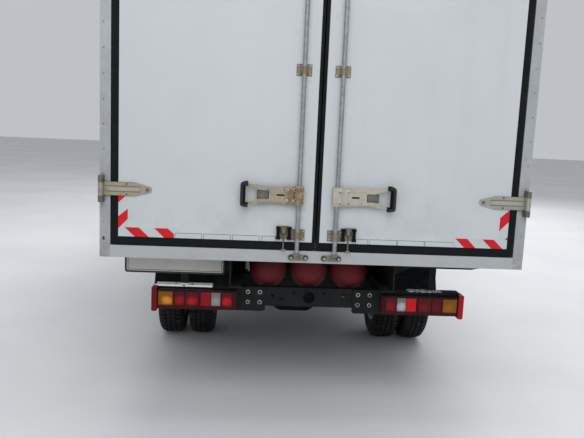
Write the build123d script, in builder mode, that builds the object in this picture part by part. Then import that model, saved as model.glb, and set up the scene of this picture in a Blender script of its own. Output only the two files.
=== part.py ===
"""A light two-axle truck with an insulated box body, a bonneted cab for two or three people, twin rear
wheels and three red gas cylinders slung between the body bearers behind the rear axle.

+Y is forward, +X the right-hand side and +Z up. The origin lies on the ground under the middle of the
bounding box. Lengths are in millimetres. A place along the truck is a distance ahead of the outer face of
the rear door frame, and rear_face_y puts that face in the model's frame.
"""

from build123d import *
import math
import os

os.makedirs("parts", exist_ok=True)

# Overall layout
box_length = 3300.0
cab_gap = 120.0
cab_length = 2315.0
bumper_proud = 40.0
handle_reach = 66.0
rear_axle_at = 1600.0
front_overhang = 990.0
cab_rear_at = box_length + cab_gap
nose_at = cab_rear_at + cab_length
front_reach = nose_at + bumper_proud
front_axle_at = nose_at - front_overhang
rear_face_y = -(front_reach - handle_reach) / 2
rear_axle_y = rear_face_y + rear_axle_at
front_axle_y = rear_face_y + front_axle_at

# Clearances
running_gap = 5.0
pin_gap = 0.3
fit_gap = 0.5
cutter_reach = 20.0  # how far a cutting shape passes the surface that it cuts

# Wheels
tyre_radius = 342.0
tyre_width = 185.0
tread_width = 132.0
shoulder_drop = 20.0
bulge_radius = 276.0
bead_radius = 203.0
bead_width = 132.0
twin_pitch = 216.0
rear_outer_x = 980.0
front_wheel_x = 860.0
lip_height = 13.0
lip_width = 13.0
rim_wall = 8.0
well_drop = 14.0
well_half_width = 30.0
disc_wall = 9.0
disc_edge = 34.0
disc_flat_radius = 112.0
disc_taper = 4.0
wheel_hole_radius = 19.0
wheel_hole_circle = 150.0
wheel_hole_count = 6
hub_radius = 64.0
hub_outer_reach = 24.0
hub_cap_wall = 20.0
drum_radius = 150.0
drum_wall = 10.0
drum_inner_x = 566.0
drum_outer_x = 716.0
spindle_radius = 26.0
spindle_reach = 215.0
stub_radius = 38.0
axle_z = tyre_radius
wheel_offset = twin_pitch / 2
rear_wheel_x = rear_outer_x - tyre_width / 2 - wheel_offset

# Ladder frame
rail_outer_x = 434.0
rail_width = 64.0
rail_height = 150.0
rail_wall = 6.0
rail_top = 735.0
rail_front_setback = 95.0
cross_height = 60.0
cross_wall = 5.0
rail_inner_x = rail_outer_x - rail_width
rail_web_x = rail_outer_x - rail_wall
rail_bottom = rail_top - rail_height
rail_front_at = nose_at - rail_front_setback

# Rear beam, seen from behind as (x, z) with x the same on both sides
beam_at = 220.0
beam_depth = 50.0
beam_bottom = 595.0
beam_top = 700.0
tow_hole_radius = 32.0
bracket_inner_x = 240.0
bracket_outer_x = 850.0
bracket_bottom = 565.0
bracket_wall = 6.0
bracket_corner = 14.0
bracket_shelf = 30.0
bolt_middle_x = 292.5
bolt_middle_z = 643.5
bolt_spacing_x = 65.0
bolt_spacing_z = 57.0
bolt_hole_radius = 6.0
upright_x = (664.0, 704.0)
upright_depth = 26.0
rail_rear_at = beam_at + beam_depth

# Tail lamps
lamp_inner_x = 396.0
lamp_outer_x = 824.0
lamp_bottom = 574.0
lamp_top = 682.0
lamp_depth = 38.0
lamp_corner = 10.0
lens_relief = 5.0
lens_margin = 8.0
lens_corner = 5.0
marker_width = 30.0
marker_reach = 42.0
marker_height = 135.0
marker_corner = 8.0

# Gas cylinders and their cradles
cylinder_radius = 104.0
dome_radius = 94.0
cylinder_pitch = 228.0
cylinder_z = 779.0
cylinder_rear_at = 240.0
cylinder_length = 1280.0
neck_radius = 24.0
neck_length = 34.0
cradle_rear_setback = 260.0
cradle_front_setback = 1000.0
cradle_width = 50.0
cradle_base = 35.0
cradle_waist = 70.0
strap_thickness = 4.0

# Body bearers
bearer_rear_at = 50.0
bearer_front_setback = 60.0
bearer_wall = 6.0
outrigger_reach = 1050.0
outrigger_width = 50.0
outrigger_height = 60.0
outrigger_tip = 30.0
outrigger_root = 120.0
outrigger_gusset_x = 560.0
outrigger_taper_x = 900.0
outrigger_rear_at = 235.0
outrigger_pitch = 549.0
outrigger_count = 6
holder_x = (478.0, 994.0)
holder_bottom = 776.0
holder_wall = 11.0

# Springs
leaf_thickness = 9.0
leaf_width = 64.0
spring_eye_radius = 18.0
hanger_half = 40.0
clamp_half_length = 65.0
clamp_half_width = 50.0
clamp_plate = 12.0
clamp_bolt_x = 40.0
clamp_bolt_y = 45.0
clamp_bolt_radius = 6.0
spring_x = (rail_inner_x + rail_outer_x) / 2

# Axles and shafts
tube_radius = 50.0
case_radius = 165.0
case_half = 110.0
case_shoulder = 260.0
case_blend = 60.0
brake_x = 560.0
brake_radius = 150.0
brake_plate = 12.0
spring_block_half = 60.0
pinion_rise = 8.0
pinion_reach = 270.0
pinion_radius = 70.0
flange_radius = 56.0
flange_width = 8.0
flange_gap = 14.0
shaft_radius = 38.0
bearing_radius = 62.0
bearing_width = 40.0
bearing_half = 60.0
bearing_setback = 1530.0
bearing_z = 470.0
bearing_bar_bottom = 630.0
bearing_bar_height = 30.0
gearbox_z = 475.0

# Engine and exhaust, measured back from the fire wall
engine_half_width = 230.0
engine_front_gap = 45.0
engine_length = 425.0
engine_bottom = 470.0
engine_top = 960.0
gearbox_length = 500.0
gearbox_half_width = 130.0
gearbox_half_height = 70.0
engine_arm_at = 190.0
engine_arm_width = 60.0
engine_arm_z = (600.0, 640.0)
exhaust_x = 250.0
exhaust_z = 500.0
pipe_radius = 27.0
silencer_radius = 85.0
silencer_length = 600.0
pipe_front_gap = 15.0
silencer_setback = 1130.0
tail_setback = 2130.0
tail_drop = 60.0
tail_bend = 60.0
hanger_width = 20.0
hanger_wall = 12.0

# Tanks along the rails
tank_rear_at = 2250.0
tank_length = 600.0
tank_outer_x = 800.0
tank_z = (430.0, 700.0)
tank_corner = 60.0
tank_band = 4.0
tank_band_width = 40.0
tank_band_inset = 90.0
locker_rear_at = 2350.0
locker_length = 450.0
locker_outer_x = 720.0
locker_z = (480.0, 720.0)
locker_corner = 12.0
locker_lid = 6.0

# Mudguards
guard_radius = 400.0
guard_wall = 6.0
guard_side_gap = 8.0
guard_lower_edge = 60.0
flap_bottom = 325.0
guard_foot_x = (760.0, 800.0)
guard_foot_z = 592.0

# Insulated box
box_half_width = 1090.0
box_bottom = 889.0
box_top = 2860.0
wall_thickness = 80.0
floor_thickness = 96.0
roof_thickness = 80.0
post_width = 53.0
sill_height = 62.0
portal_depth = 84.0
seal_width = 41.0
seal_bottom_width = 47.0
centre_seal_width = 16.5
door_top = 2720.0
door_thickness = 80.0
door_proud = 6.0
door_parting = 2.5
door_bevel = 12.0
panel_inset = 3.0
seal_inner_x = 3.0
seal_depth = 44.0
trim_width = 60.0
trim_bottom_width = 90.0
trim_thickness = 3.0

# Rear door fittings
pin_x = 1078.0
pin_proud = 34.0
pin_radius = 9.0
pin_overhang = 10.0
knuckle_radius = 13.0
knuckle_gap = 0.5
fixed_knuckle_height = 31.5
strap_length = 245.0
strap_height = 68.0
strap_plate = 6.0
strap_shoulder = 165.0
strap_tip_half = 12.0
strap_shoulder_radius = 40.0
strap_tip_radius = 9.0
rib_length = 160.0
rib_height = 24.0
rib_proud = 4.0
rib_middle = 110.0
hinge_z = (1238.0, 2480.0)
bar_x = 96.0
bar_radius = 11.0
bar_proud = 27.0
bar_bottom = 931.0
bar_top = 2696.0
guide_width = 76.0
guide_height = 56.0
guide_plate = 3.0
guide_middle_z = 1858.0
guide_margin = 10.0
saddle_half_width = 17.0
saddle_wall = 4.0
saddle_inset = 12.0
handle_z = 1239.0
handle_height = 96.0
handle_sleeve_half = 22.0
handle_sleeve_wall = 5.0
handle_plate = 5.0
handle_waist_x = 240.0
handle_waist_half = 41.0
fork_x = 292.0
fork_half = 24.0
fork_tip_half = 46.0
grip_outer_x = 390.0
grip_width = 44.0
grip_height = 122.0
grip_bar = 14.0
grip_corner = 15.0
latch_x = (246.0, 284.0)
latch_half = 18.0
handle_slot_x = 190.0
handle_slot = (28.0, 6.0)
clip_x = (128.0, 202.0)
clip_z = (1012.0, 1080.0)
clip_plate = 5.0
clip_cheek = 18.0
clip_depth = 26.0
keeper_z = 917.0
keeper_width = 108.0
keeper_height = 30.0
keeper_plate = 6.0
keeper_offset = 11.0
keeper_bolt_spacing = 74.0
keeper_bolt_radius = 9.0
keeper_bolt_height = 12.0

# Refrigeration unit
unit_half_width = 560.0
unit_bottom = 2230.0
unit_top = 2700.0
unit_depth = 360.0
unit_crown = 160.0
unit_shoulder = 90.0
unit_corner = 45.0
neck_half_width = 300.0
neck_z = (2560.0, 2690.0)
evaporator_half_width = 480.0
evaporator_depth = 420.0
evaporator_gap = 20.0
fan_radius = 150.0
fan_mouth_gap = 10.0
fan_x = 270.0
fan_z = 2455.0
fan_depth = 40.0
fan_pocket_depth = 80.0
fan_hub_radius = 34.0
fan_blades = 6
blade_width = 62.0
blade_thickness = 4.0
blade_twist = 28.0
motor_radius = 28.0
motor_shaft_radius = 8.0
motor_gap = 6.0
motor_length = 25.0
vent_x = 495.0
vent_width = 90.0
vent_height = 14.0
vent_pitch = 34.0
vent_depth = 10.0
vent_rows = 8

# Cab, in side view
cab_half_width = 1000.0
roof_half_width = 836.0
cab_bottom = 500.0
cab_floor_thickness = 40.0
cab_belt = 1250.0
cab_roof = 2125.0
cab_wall = 55.0
nose_wall = 28.0
roof_rear_radius = 110.0
roof_front_radius = 250.0
roof_side_radius = 110.0
belt_radius = 500.0
scuttle_radius = 120.0
crest_radius = 90.0
screen_base_setback = 625.0
roof_front_setback = 1369.0
crest_setback = 95.0
crest_z = 1090.0
nose_top = 980.0
nose_bottom = 700.0
nose_corner_x = (930.0, 760.0)
nose_corner_setback = (405.0, 135.0)
nose_side_radius = 300.0
nose_corner_radius = 90.0
rear_corner_radius = 60.0
firewall_setback = 805.0
firewall_thickness = 30.0
underbody_half_width = 780.0
bay_half_width = 560.0
bay_floor = 20.0
nose_cut_setback = 495.0
arch_radius = 420.0
arch_inner_x = 545.0
arch_liner_wall = 22.0
arch_bottom = 560.0
arch_flare = 20.0
arch_flare_proud = 10.0
cab_floor = rail_top + cab_floor_thickness
firewall_at = nose_at - firewall_setback
screen_base_at = nose_at - screen_base_setback
roof_front_at = nose_at - roof_front_setback
crest_at = nose_at - crest_setback

# Cab doors and windows
door_rear_setback = 80.0
door_length = 850.0
cab_door_bottom = 570.0
cab_door_top = 2030.0
cab_door_corner = 70.0
cab_door_depth = 210.0
door_gap = 8.0
window_margin = 70.0
window_rise = 30.0
window_corner = 50.0
glass_inset = 18.0
glass_thickness = 6.0
quarter_gap = 90.0
quarter_rise = 50.0
quarter_length = 480.0
quarter_top = 1910.0
quarter_corner = 25.0
quarter_inner_x = 600.0
screen_half_width = (860.0, 760.0)
screen_margin = (80.0, 130.0)
screen_corner = 60.0
screen_cut = 90.0
rear_window_half_width = 620.0
rear_window_z = (1420.0, 1850.0)
rear_window_corner = 60.0
handle_bar_length = 150.0
handle_bar_height = 24.0
handle_bar_proud = 14.0
handle_bar_rise = 70.0
door_rear_at = cab_rear_at + door_rear_setback
door_front_at = door_rear_at + door_length

# Cab hinges
hinge_proud = 3.0
door_hinge_z = (740.0, 1150.0)
hinge_radius = 8.0
hinge_pin = 5.0
hinge_half = 25.0
hinge_leaf = 45.0
hinge_inset = 8.0
hinge_pocket = 13.0
bonnet_hinge_x = 480.0
bonnet_pivot_setback = 572.0
bonnet_pivot_drop = 6.2
bonnet_knuckle = 7.0
bonnet_pin = 4.0
bonnet_leaf_z = (-7.0, 4.0)
bonnet_leaf_reach = 24.0
bonnet_pocket = 13.0

# Bonnet, grille, lamps and bumper
bonnet_half_width = 760.0
bonnet_rear_setback = 575.0
bonnet_front_setback = 103.0
bonnet_gap = 6.0
bonnet_corner = 40.0
grille_half_width = 470.0
grille_z = (770.0, 930.0)
grille_corner = 30.0
grille_frame = 16.0
grille_inset = 3.0
slat_count = 5
slat_pitch = 26.0
slat_width = 22.0
slat_thickness = 6.0
slat_tilt = 25.0
headlamp_x = (500.0, 880.0)
headlamp_z = (760.0, 930.0)
headlamp_corner = 35.0
headlamp_inset = 4.0
headlamp_hole = 235.0
bumper_z = (430.0, 680.0)
bumper_wall = 45.0
bumper_rear_setback = 485.0
bumper_side_setback = 335.0
bumper_corner_setback = 95.0
bumper_corner_x = (940.0, 760.0)
bumper_radii = (400.0, 160.0)
bumper_chamfer = 14.0
intake_half_width = 330.0
intake_z = (480.0, 550.0)
intake_corner = 20.0
bumper_arm_z = (590.0, 670.0)
bumper_arm_overlap = 20.0

# Mirrors
mirror_x = (1060.0, 1230.0)
mirror_z = (1300.0, 1580.0)
mirror_setback = 35.0
mirror_half = 30.0
mirror_corner = 30.0
mirror_edge = 12.0
mirror_arm_z = (1339.0, 1549.0)
mirror_arm_radius = 9.0
mirror_arm_foot = 20.0

# Seats and facia
seat_rear_at = 180.0
seat_length = 530.0
seat_bottom = 950.0
seat_top = 1090.0
seat_base_inset = 40.0
seat_base_ends = (20.0, 50.0)
seat_back_ahead = 195.0
seat_back_z = 1370.0
seat_back_depth = 110.0
seat_back_height = 620.0
back_lean = 12.0
headrest_size = (240.0, 170.0)
headrest_depth = 68.0
headrest_rise = 390.0
seat_corner = 40.0
facia_half_width = 900.0
facia_depth = 210.0
facia_z = (980.0, 1190.0)
facia_radius = 60.0
wheel_x = -480.0
wheel_setback = 360.0
wheel_z = 1180.0
wheel_tilt = 52.0
wheel_ring = 190.0
wheel_rim_radius = 15.0
wheel_spoke = (370.0, 30.0, 14.0)
wheel_boss = (22.0, 60.0)
column_radius = 24.0
column_start = (370.0, 1170.0)
column_end = (170.0, 1030.0)

# Steering
kingpin_x = 745.0
kingpin_radius = 14.0
eye_radius = 30.0
eye_height = 80.0
fork_gap = 0.5
fork_plate = 20.0
fork_reach = 56.0
carrier_x = (38.0, 58.0)
carrier_half = 45.0
disc_x = (56.0, 64.0)
disc_radius = 150.0
lug_half = 24.0
beam_half_depth = 26.0
beam_drop_x = (480.0, 560.0)
beam_low_z = (290.0, 342.0)
beam_high_z = (312.0, 366.0)
beam_blend = 18.0
beam_recess_half = 330.0
beam_recess_height = 26.0
beam_recess_depth = 14.0
arm_reach = 170.0
arm_root_half = 24.0
arm_tip_half = 16.0
arm_eye_radius = 18.0
rod_radius = 11.0
rod_eye_radius = 19.0
rod_eye_half = 13.0
rod_z = 265.0
ball_pin_radius = 9.0
ball_pin_drop = 16.0

# The two sides of the truck
sides = ((-1, "left"), (1, "right"))


def write(part, name):
    """Labels a finished piece and writes it as its own file."""
    part.label = name
    export_step(part, f"parts/{name}.step")


def ahead(distance):
    """The y of a place that lies this far ahead of the rear door frame."""
    return rear_face_y + distance


def section(distance):
    """The upright plane across the truck at a distance ahead. It is seen from behind, as (x, z)."""
    return Plane.XZ.offset(-ahead(distance))


def profile(plane, points, radius=0.0):
    """A closed outline on a plane, with one radius for all corners or a radius for each."""
    with BuildSketch(plane) as outline:
        with BuildLine():
            if radius:
                FilletPolyline(*points, radius=radius, close=True)
            else:
                Polyline(*points, close=True)
        make_face()
    return outline.sketch


def from_the_side(points):
    """Turns (distance ahead, z) points into the (y, z) points of a side view."""
    return [(ahead(distance), z) for distance, z in points]


def block(x0, x1, y0, y1, z0, z1, mode=Mode.ADD):
    """A box between two corners, along the truck's axes, inside the current part."""
    with Locations(((x0 + x1) / 2, (y0 + y1) / 2, (z0 + z1) / 2)):
        Box(x1 - x0, y1 - y0, z1 - z0, mode=mode)


def lug(side, x0, x1, y0, y1, z0, z1, mode=Mode.ADD):
    """A box given for the right-hand side, placed on either side."""
    block(*sorted((side * x0, side * x1)), y0, y1, z0, z1, mode)


def rod(radius, start, end, mode=Mode.ADD):
    """A round bar between two points, inside the current part."""
    axis = Vector(*end) - Vector(*start)
    with BuildSketch(Plane(origin=start, z_dir=axis)) as end_face:
        Circle(radius)
    extrude(end_face.sketch, amount=axis.length, mode=mode)


def cross_rod(side, radius, x0, x1, y, z, mode=Mode.ADD):
    """A round bar across the truck, given for the right-hand side, placed on either side."""
    rod(radius, (side * x0, y, z), (side * x1, y, z), mode)


def upright_rod(radius, x, y, z0, z1, mode=Mode.ADD):
    """An upright round bar."""
    rod(radius, (x, y, z0), (x, y, z1), mode)


def side_prism(points, x0, x1, radius=0.0, mode=Mode.ADD):
    """A plate whose outline is drawn from the side as (distance ahead, z), from x0 to x1."""
    extrude(profile(Plane.YZ.offset(x0), from_the_side(points), radius), amount=x1 - x0, mode=mode)


def plan_prism(points, side, z0, z1, mode=Mode.ADD):
    """A plate drawn in plan as (x, y) for the right-hand side, placed on either side, from z0 to z1."""
    extrude(profile(Plane.XY.offset(z0), [(side * x, y) for x, y in points]), amount=z1 - z0, mode=mode)


# Ladder frame: two straight channel rails, open towards each other
with BuildPart() as frame_rails:
    with BuildSketch(section(rail_rear_at)) as rail_section:
        for side, side_name in sides:
            with Locations((side * (rail_outer_x - rail_width / 2), rail_top - rail_height / 2)):
                Rectangle(rail_width, rail_height)
            with Locations((side * (rail_outer_x - rail_width / 2 - rail_wall), rail_top - rail_height / 2)):
                Rectangle(rail_width, rail_height - 2 * rail_wall, mode=Mode.SUBTRACT)
    extrude(amount=-(rail_front_at - rail_rear_at))
write(frame_rails.part, "frame_rails")

# Pressed cross members, open below: (distance ahead, middle height, depth along the truck)
front_member_at = cab_rear_at + 760.0
middle_member_at = box_length - 150.0
member_z = 660.0
member_depth = 60.0
cross_table = (
    (700.0, 632.0, member_depth),
    (2250.0, member_z, 80.0),
    (middle_member_at, member_z, member_depth),
    (front_member_at, member_z, member_depth),
    (nose_at - 175.0, member_z, 90.0),
)
with BuildPart() as crossmembers:
    with BuildSketch(Plane.YZ.offset(-rail_web_x)) as cross_section:
        for cross_at, cross_z, cross_depth in cross_table:
            with Locations((ahead(cross_at), cross_z)):
                Rectangle(cross_depth, cross_height)
            with Locations((ahead(cross_at), cross_z - cross_wall)):
                Rectangle(cross_depth - 2 * cross_wall, cross_height, mode=Mode.SUBTRACT)
    extrude(amount=2 * rail_web_x)
write(crossmembers.part, "crossmembers")

# Rear beam: a channel open towards the front, with the folded plates that carry the lamps.
# Holes in its face: (x, height above its lower edge, radius)
beam_middle = (beam_bottom + beam_top) / 2
face_holes = (
    (-200.0, 58.0, 9.0),
    (-150.0, 40.0, 6.0),
    (-84.0, 78.0, 7.0),
    (84.0, 78.0, 7.0),
    (196.0, 62.0, 12.0),
)
with BuildPart() as rear_beam:
    with BuildSketch(Plane.YZ.offset(-rail_outer_x)) as beam_section:
        with Locations((ahead(beam_at + beam_depth / 2), beam_middle)):
            Rectangle(beam_depth, beam_top - beam_bottom)
        with Locations((ahead(beam_at + beam_depth / 2 + rail_wall), beam_middle)):
            Rectangle(beam_depth, beam_top - beam_bottom - 2 * rail_wall, mode=Mode.SUBTRACT)
    extrude(amount=2 * rail_outer_x)
    bracket_middle_x = (bracket_inner_x + bracket_outer_x) / 2
    bracket_middle_z = (bracket_bottom + beam_top) / 2
    with BuildSketch(section(beam_at)) as bracket_plates:
        for side, side_name in sides:
            with Locations((side * bracket_middle_x, bracket_middle_z)):
                RectangleRounded(bracket_outer_x - bracket_inner_x, beam_top - bracket_bottom, bracket_corner)
    extrude(amount=bracket_wall)
    for side, side_name in sides:
        shelf = (lamp_inner_x, bracket_outer_x - bracket_corner, ahead(beam_at - bracket_wall))
        lug(side, *shelf, ahead(beam_at + beam_depth), beam_top - bracket_wall, beam_top)
        lug(side, *shelf, ahead(beam_at + bracket_shelf), bracket_bottom, bracket_bottom + bracket_wall)
        upright_rear = ahead(outrigger_rear_at)
        upright_top = box_bottom - outrigger_height
        lug(side, *upright_x, upright_rear, upright_rear + upright_depth, beam_top, upright_top)
    with BuildSketch(section(beam_at + rail_wall)) as bolt_holes:
        for side, side_name in sides:
            with Locations((side * bolt_middle_x, bolt_middle_z)):
                with GridLocations(bolt_spacing_x, bolt_spacing_z, 2, 2):
                    Circle(bolt_hole_radius)
        with Locations((0, beam_middle)):
            Circle(tow_hole_radius)
        for hole_x, hole_rise, hole_radius in face_holes:
            with Locations((hole_x, beam_bottom + hole_rise)):
                Circle(hole_radius)
    extrude(amount=rail_wall + bracket_wall, mode=Mode.SUBTRACT)
write(rear_beam.part, "rear_beam")

# Tail lamps: (inner x, outer x) of each lens, then an end marker that wraps round the bracket
lens_table = (
    (404.0, 418.0),
    (422.0, 476.0),
    (484.0, 533.0),
    (536.0, 590.0),
    (601.0, 675.0),
    (679.0, 730.0),
    (740.0, 817.0),
)
lamp_middle_z = (lamp_bottom + lamp_top) / 2
with BuildPart() as tail_lamps:
    lamp_back = beam_at - bracket_wall
    with BuildSketch(section(lamp_back)) as lamp_housings:
        for side, side_name in sides:
            with Locations((side * (lamp_inner_x + lamp_outer_x) / 2, lamp_middle_z)):
                RectangleRounded(lamp_outer_x - lamp_inner_x, lamp_top - lamp_bottom, lamp_corner)
    extrude(amount=lamp_depth - lens_relief)
    with BuildSketch(section(lamp_back - lamp_depth + lens_relief)) as lenses:
        for side, side_name in sides:
            for lens_inner, lens_outer in lens_table:
                with Locations((side * (lens_inner + lens_outer) / 2, lamp_middle_z)):
                    RectangleRounded(lens_outer - lens_inner, lamp_top - lamp_bottom - 2 * lens_margin, lens_corner)
    extrude(amount=lens_relief)
    with BuildSketch(section(lamp_back)) as end_markers:
        for side, side_name in sides:
            with Locations((side * (lamp_outer_x + marker_width / 2), lamp_middle_z)):
                RectangleRounded(marker_width, marker_height, marker_corner)
    extrude(amount=marker_reach)
write(tail_lamps.part, "tail_lamps")

# Gas cylinders with domed ends and a valve boss in front, lying along the truck
columns = (-cylinder_pitch, 0.0, cylinder_pitch)
with BuildPart() as gas_cylinders:
    for column_x in columns:
        with BuildSketch(Plane.XY.offset(cylinder_z)) as half_section:
            with BuildLine():
                rear_end = (column_x, ahead(cylinder_rear_at))
                rear_rim = (column_x + cylinder_radius, ahead(cylinder_rear_at))
                front_rim = (column_x + cylinder_radius, ahead(cylinder_rear_at + cylinder_length))
                front_end = (column_x, ahead(cylinder_rear_at + cylinder_length))
                FilletPolyline(rear_end, rear_rim, front_rim, front_end, radius=dome_radius)
                Line(front_end, rear_end)
            make_face()
        revolve(axis=Axis((column_x, 0, cylinder_z), (0, 1, 0)))
        neck_start = (column_x, ahead(cylinder_rear_at + cylinder_length) - fit_gap, cylinder_z)
        neck_end = (column_x, ahead(cylinder_rear_at + cylinder_length + neck_length), cylinder_z)
        rod(neck_radius, neck_start, neck_end)
write(gas_cylinders.part, "gas_cylinders")

# Cradles that carry the cylinders between the rails, with a steel band over each
with BuildPart() as cylinder_rack:
    cradle_bottom = rail_bottom + cradle_base
    waist_z = cylinder_z - cradle_waist
    for cradle_setback in (cradle_rear_setback, cradle_front_setback):
        with BuildSketch(section(cylinder_rear_at + cradle_setback)) as cradle:
            with Locations((0, (cradle_bottom + waist_z) / 2)):
                Rectangle(2 * rail_web_x, waist_z - cradle_bottom)
            with Locations((0, (cradle_bottom + cylinder_z) / 2)):
                Rectangle(2 * (cylinder_pitch + cylinder_radius), cylinder_z - cradle_bottom)
            with Locations(*[(column_x, cylinder_z) for column_x in columns]):
                Circle(cylinder_radius + pin_gap + strap_thickness)
            with Locations(*[(column_x, cylinder_z) for column_x in columns]):
                Circle(cylinder_radius + pin_gap, mode=Mode.SUBTRACT)
        extrude(amount=-cradle_width)
write(cylinder_rack.part, "cylinder_rack")

# Body bearers along the rails, channels open inwards, with tapered outriggers under the floor
outrigger_outline = (
    (rail_outer_x, box_bottom),
    (outrigger_reach, box_bottom),
    (outrigger_reach, box_bottom - outrigger_tip),
    (outrigger_taper_x, box_bottom - outrigger_height),
    (outrigger_gusset_x, box_bottom - outrigger_height),
    (rail_outer_x, box_bottom - outrigger_root),
)
bearer_height = box_bottom - rail_top
bearer_middle_z = (box_bottom + rail_top) / 2
with BuildPart() as box_bearers:
    with BuildSketch(section(bearer_rear_at)) as bearer_section:
        for side, side_name in sides:
            with Locations((side * (rail_outer_x - rail_width / 2), bearer_middle_z)):
                Rectangle(rail_width, bearer_height)
            with Locations((side * (rail_outer_x - rail_width / 2 - bearer_wall), bearer_middle_z)):
                Rectangle(rail_width, bearer_height - 2 * bearer_wall, mode=Mode.SUBTRACT)
    extrude(amount=-(box_length - bearer_front_setback - bearer_rear_at))
    for number in range(outrigger_count):
        arm_plane = section(outrigger_rear_at + number * outrigger_pitch)
        for side, side_name in sides:
            arm = profile(arm_plane, [(side * x, z) for x, z in outrigger_outline])
            extrude(arm, amount=-outrigger_width)
    holder_y = ahead(outrigger_rear_at)
    lug(-1, *holder_x, holder_y - holder_wall, holder_y, holder_bottom, box_bottom)
write(box_bearers.part, "box_bearers")


def leaf(middle, reach, top, rise, x):
    """One bowed leaf of a spring, its ends `rise` above its middle."""
    with BuildSketch(Plane.YZ.offset(x - leaf_width / 2)) as outline:
        with BuildLine():
            ThreePointArc((middle - reach, top + rise), (middle, top), (middle + reach, top + rise))
            Line((middle + reach, top + rise), (middle + reach, top + rise - leaf_thickness))
            ThreePointArc(
                (middle + reach, top + rise - leaf_thickness),
                (middle, top - leaf_thickness),
                (middle - reach, top + rise - leaf_thickness),
            )
            Line((middle - reach, top + rise - leaf_thickness), (middle - reach, top + rise))
        make_face()
    extrude(outline.sketch, amount=leaf_width)


# Leaf springs: (distance ahead, half length, height of the seat, camber, leaves)
leaf_taper = 0.8
rear_seat_z = 402.0
front_seat_z = 342.0
spring_table = (
    (rear_axle_at, 640.0, rear_seat_z, 96.0, 6),
    (front_axle_at, 600.0, front_seat_z, 90.0, 4),
)
with BuildPart() as leaf_springs:
    for spring_at, half_length, seat_z, camber, leaves in spring_table:
        pack_top = seat_z + leaf_thickness * leaves
        eye_z = pack_top + camber - leaf_thickness / 2
        for side, side_name in sides:
            x = side * spring_x
            for number in range(leaves):
                reach = half_length * (1 - leaf_taper * number / leaves)
                rise = camber * (reach / half_length) ** 2
                leaf(ahead(spring_at), reach, pack_top - leaf_thickness * number, rise, x)
            for end in (-1, 1):
                eye_at = spring_at + end * half_length
                start = (x - leaf_width / 2, ahead(eye_at), eye_z)
                rod(spring_eye_radius, start, (x + leaf_width / 2, ahead(eye_at), eye_z))
                hanger = (
                    (eye_at - spring_eye_radius, eye_z),
                    (eye_at + spring_eye_radius, eye_z),
                    (eye_at + hanger_half, rail_bottom),
                    (eye_at - hanger_half, rail_bottom),
                )
                side_prism(hanger, x - leaf_width / 2, x + leaf_width / 2)
            block(
                x - clamp_half_width,
                x + clamp_half_width,
                ahead(spring_at) - clamp_half_length,
                ahead(spring_at) + clamp_half_length,
                pack_top,
                pack_top + clamp_plate,
            )
            for bolt_side in (-1, 1):
                for bolt_end in (-1, 1):
                    bolt_y = ahead(spring_at) + bolt_end * clamp_bolt_y
                    upright_rod(clamp_bolt_radius, x + bolt_side * clamp_bolt_x, bolt_y, seat_z, pack_top)
write(leaf_springs.part, "leaf_springs")

# Rear axle: a banjo case on a tube, with spring seats, brake plates and the stubs that carry the hubs
pinion_z = axle_z + pinion_rise
with BuildPart() as rear_axle:
    with BuildSketch(Plane.XY.offset(axle_z)) as banjo:
        with BuildLine():
            outline = [
                (-brake_x, tube_radius),
                (-case_shoulder, tube_radius),
                (-case_half, case_radius),
                (case_half, case_radius),
                (case_shoulder, tube_radius),
                (brake_x, tube_radius),
            ]
            banjo_points = [(x, rear_axle_y + radius) for x, radius in outline]
            FilletPolyline(*banjo_points, radius=case_blend)
            Polyline(banjo_points[-1], (brake_x, rear_axle_y), (-brake_x, rear_axle_y), banjo_points[0])
        make_face()
    revolve(axis=Axis((0, rear_axle_y, axle_z), (1, 0, 0)))
    for side, side_name in sides:
        cross_rod(side, stub_radius, brake_x - brake_plate, rear_wheel_x + hub_radius, rear_axle_y, axle_z)
        cross_rod(side, brake_radius, brake_x - brake_plate, brake_x, rear_axle_y, axle_z)
        x = side * spring_x
        seat_y = (rear_axle_y - spring_block_half, rear_axle_y + spring_block_half)
        block(x - leaf_width / 2, x + leaf_width / 2, *seat_y, axle_z, rear_seat_z)
        plate_y = (rear_axle_y - clamp_half_length, rear_axle_y + clamp_half_length)
        block(x - clamp_half_width, x + clamp_half_width, *plate_y, rear_seat_z - clamp_plate, rear_seat_z)
    rod(pinion_radius, (0, rear_axle_y, pinion_z), (0, rear_axle_y + pinion_reach, pinion_z))
write(rear_axle.part, "rear_axle")

# Engine and gearbox as one plain mass, with arms to the rails
gearbox_front_at = firewall_at + engine_front_gap
gearbox_rear_at = firewall_at - gearbox_length
with BuildPart() as powertrain_block:
    engine_y = (ahead(gearbox_front_at), ahead(gearbox_front_at + engine_length))
    block(-engine_half_width, engine_half_width, *engine_y, engine_bottom, engine_top)
    gearbox_y = (ahead(gearbox_rear_at), ahead(gearbox_front_at))
    gearbox_ends = (gearbox_z - gearbox_half_height, gearbox_z + gearbox_half_height)
    block(-gearbox_half_width, gearbox_half_width, *gearbox_y, *gearbox_ends)
    arm_y = (ahead(firewall_at + engine_arm_at), ahead(firewall_at + engine_arm_at + engine_arm_width))
    block(-rail_web_x, rail_web_x, *arm_y, *engine_arm_z)
write(powertrain_block.part, "powertrain_block")

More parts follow.
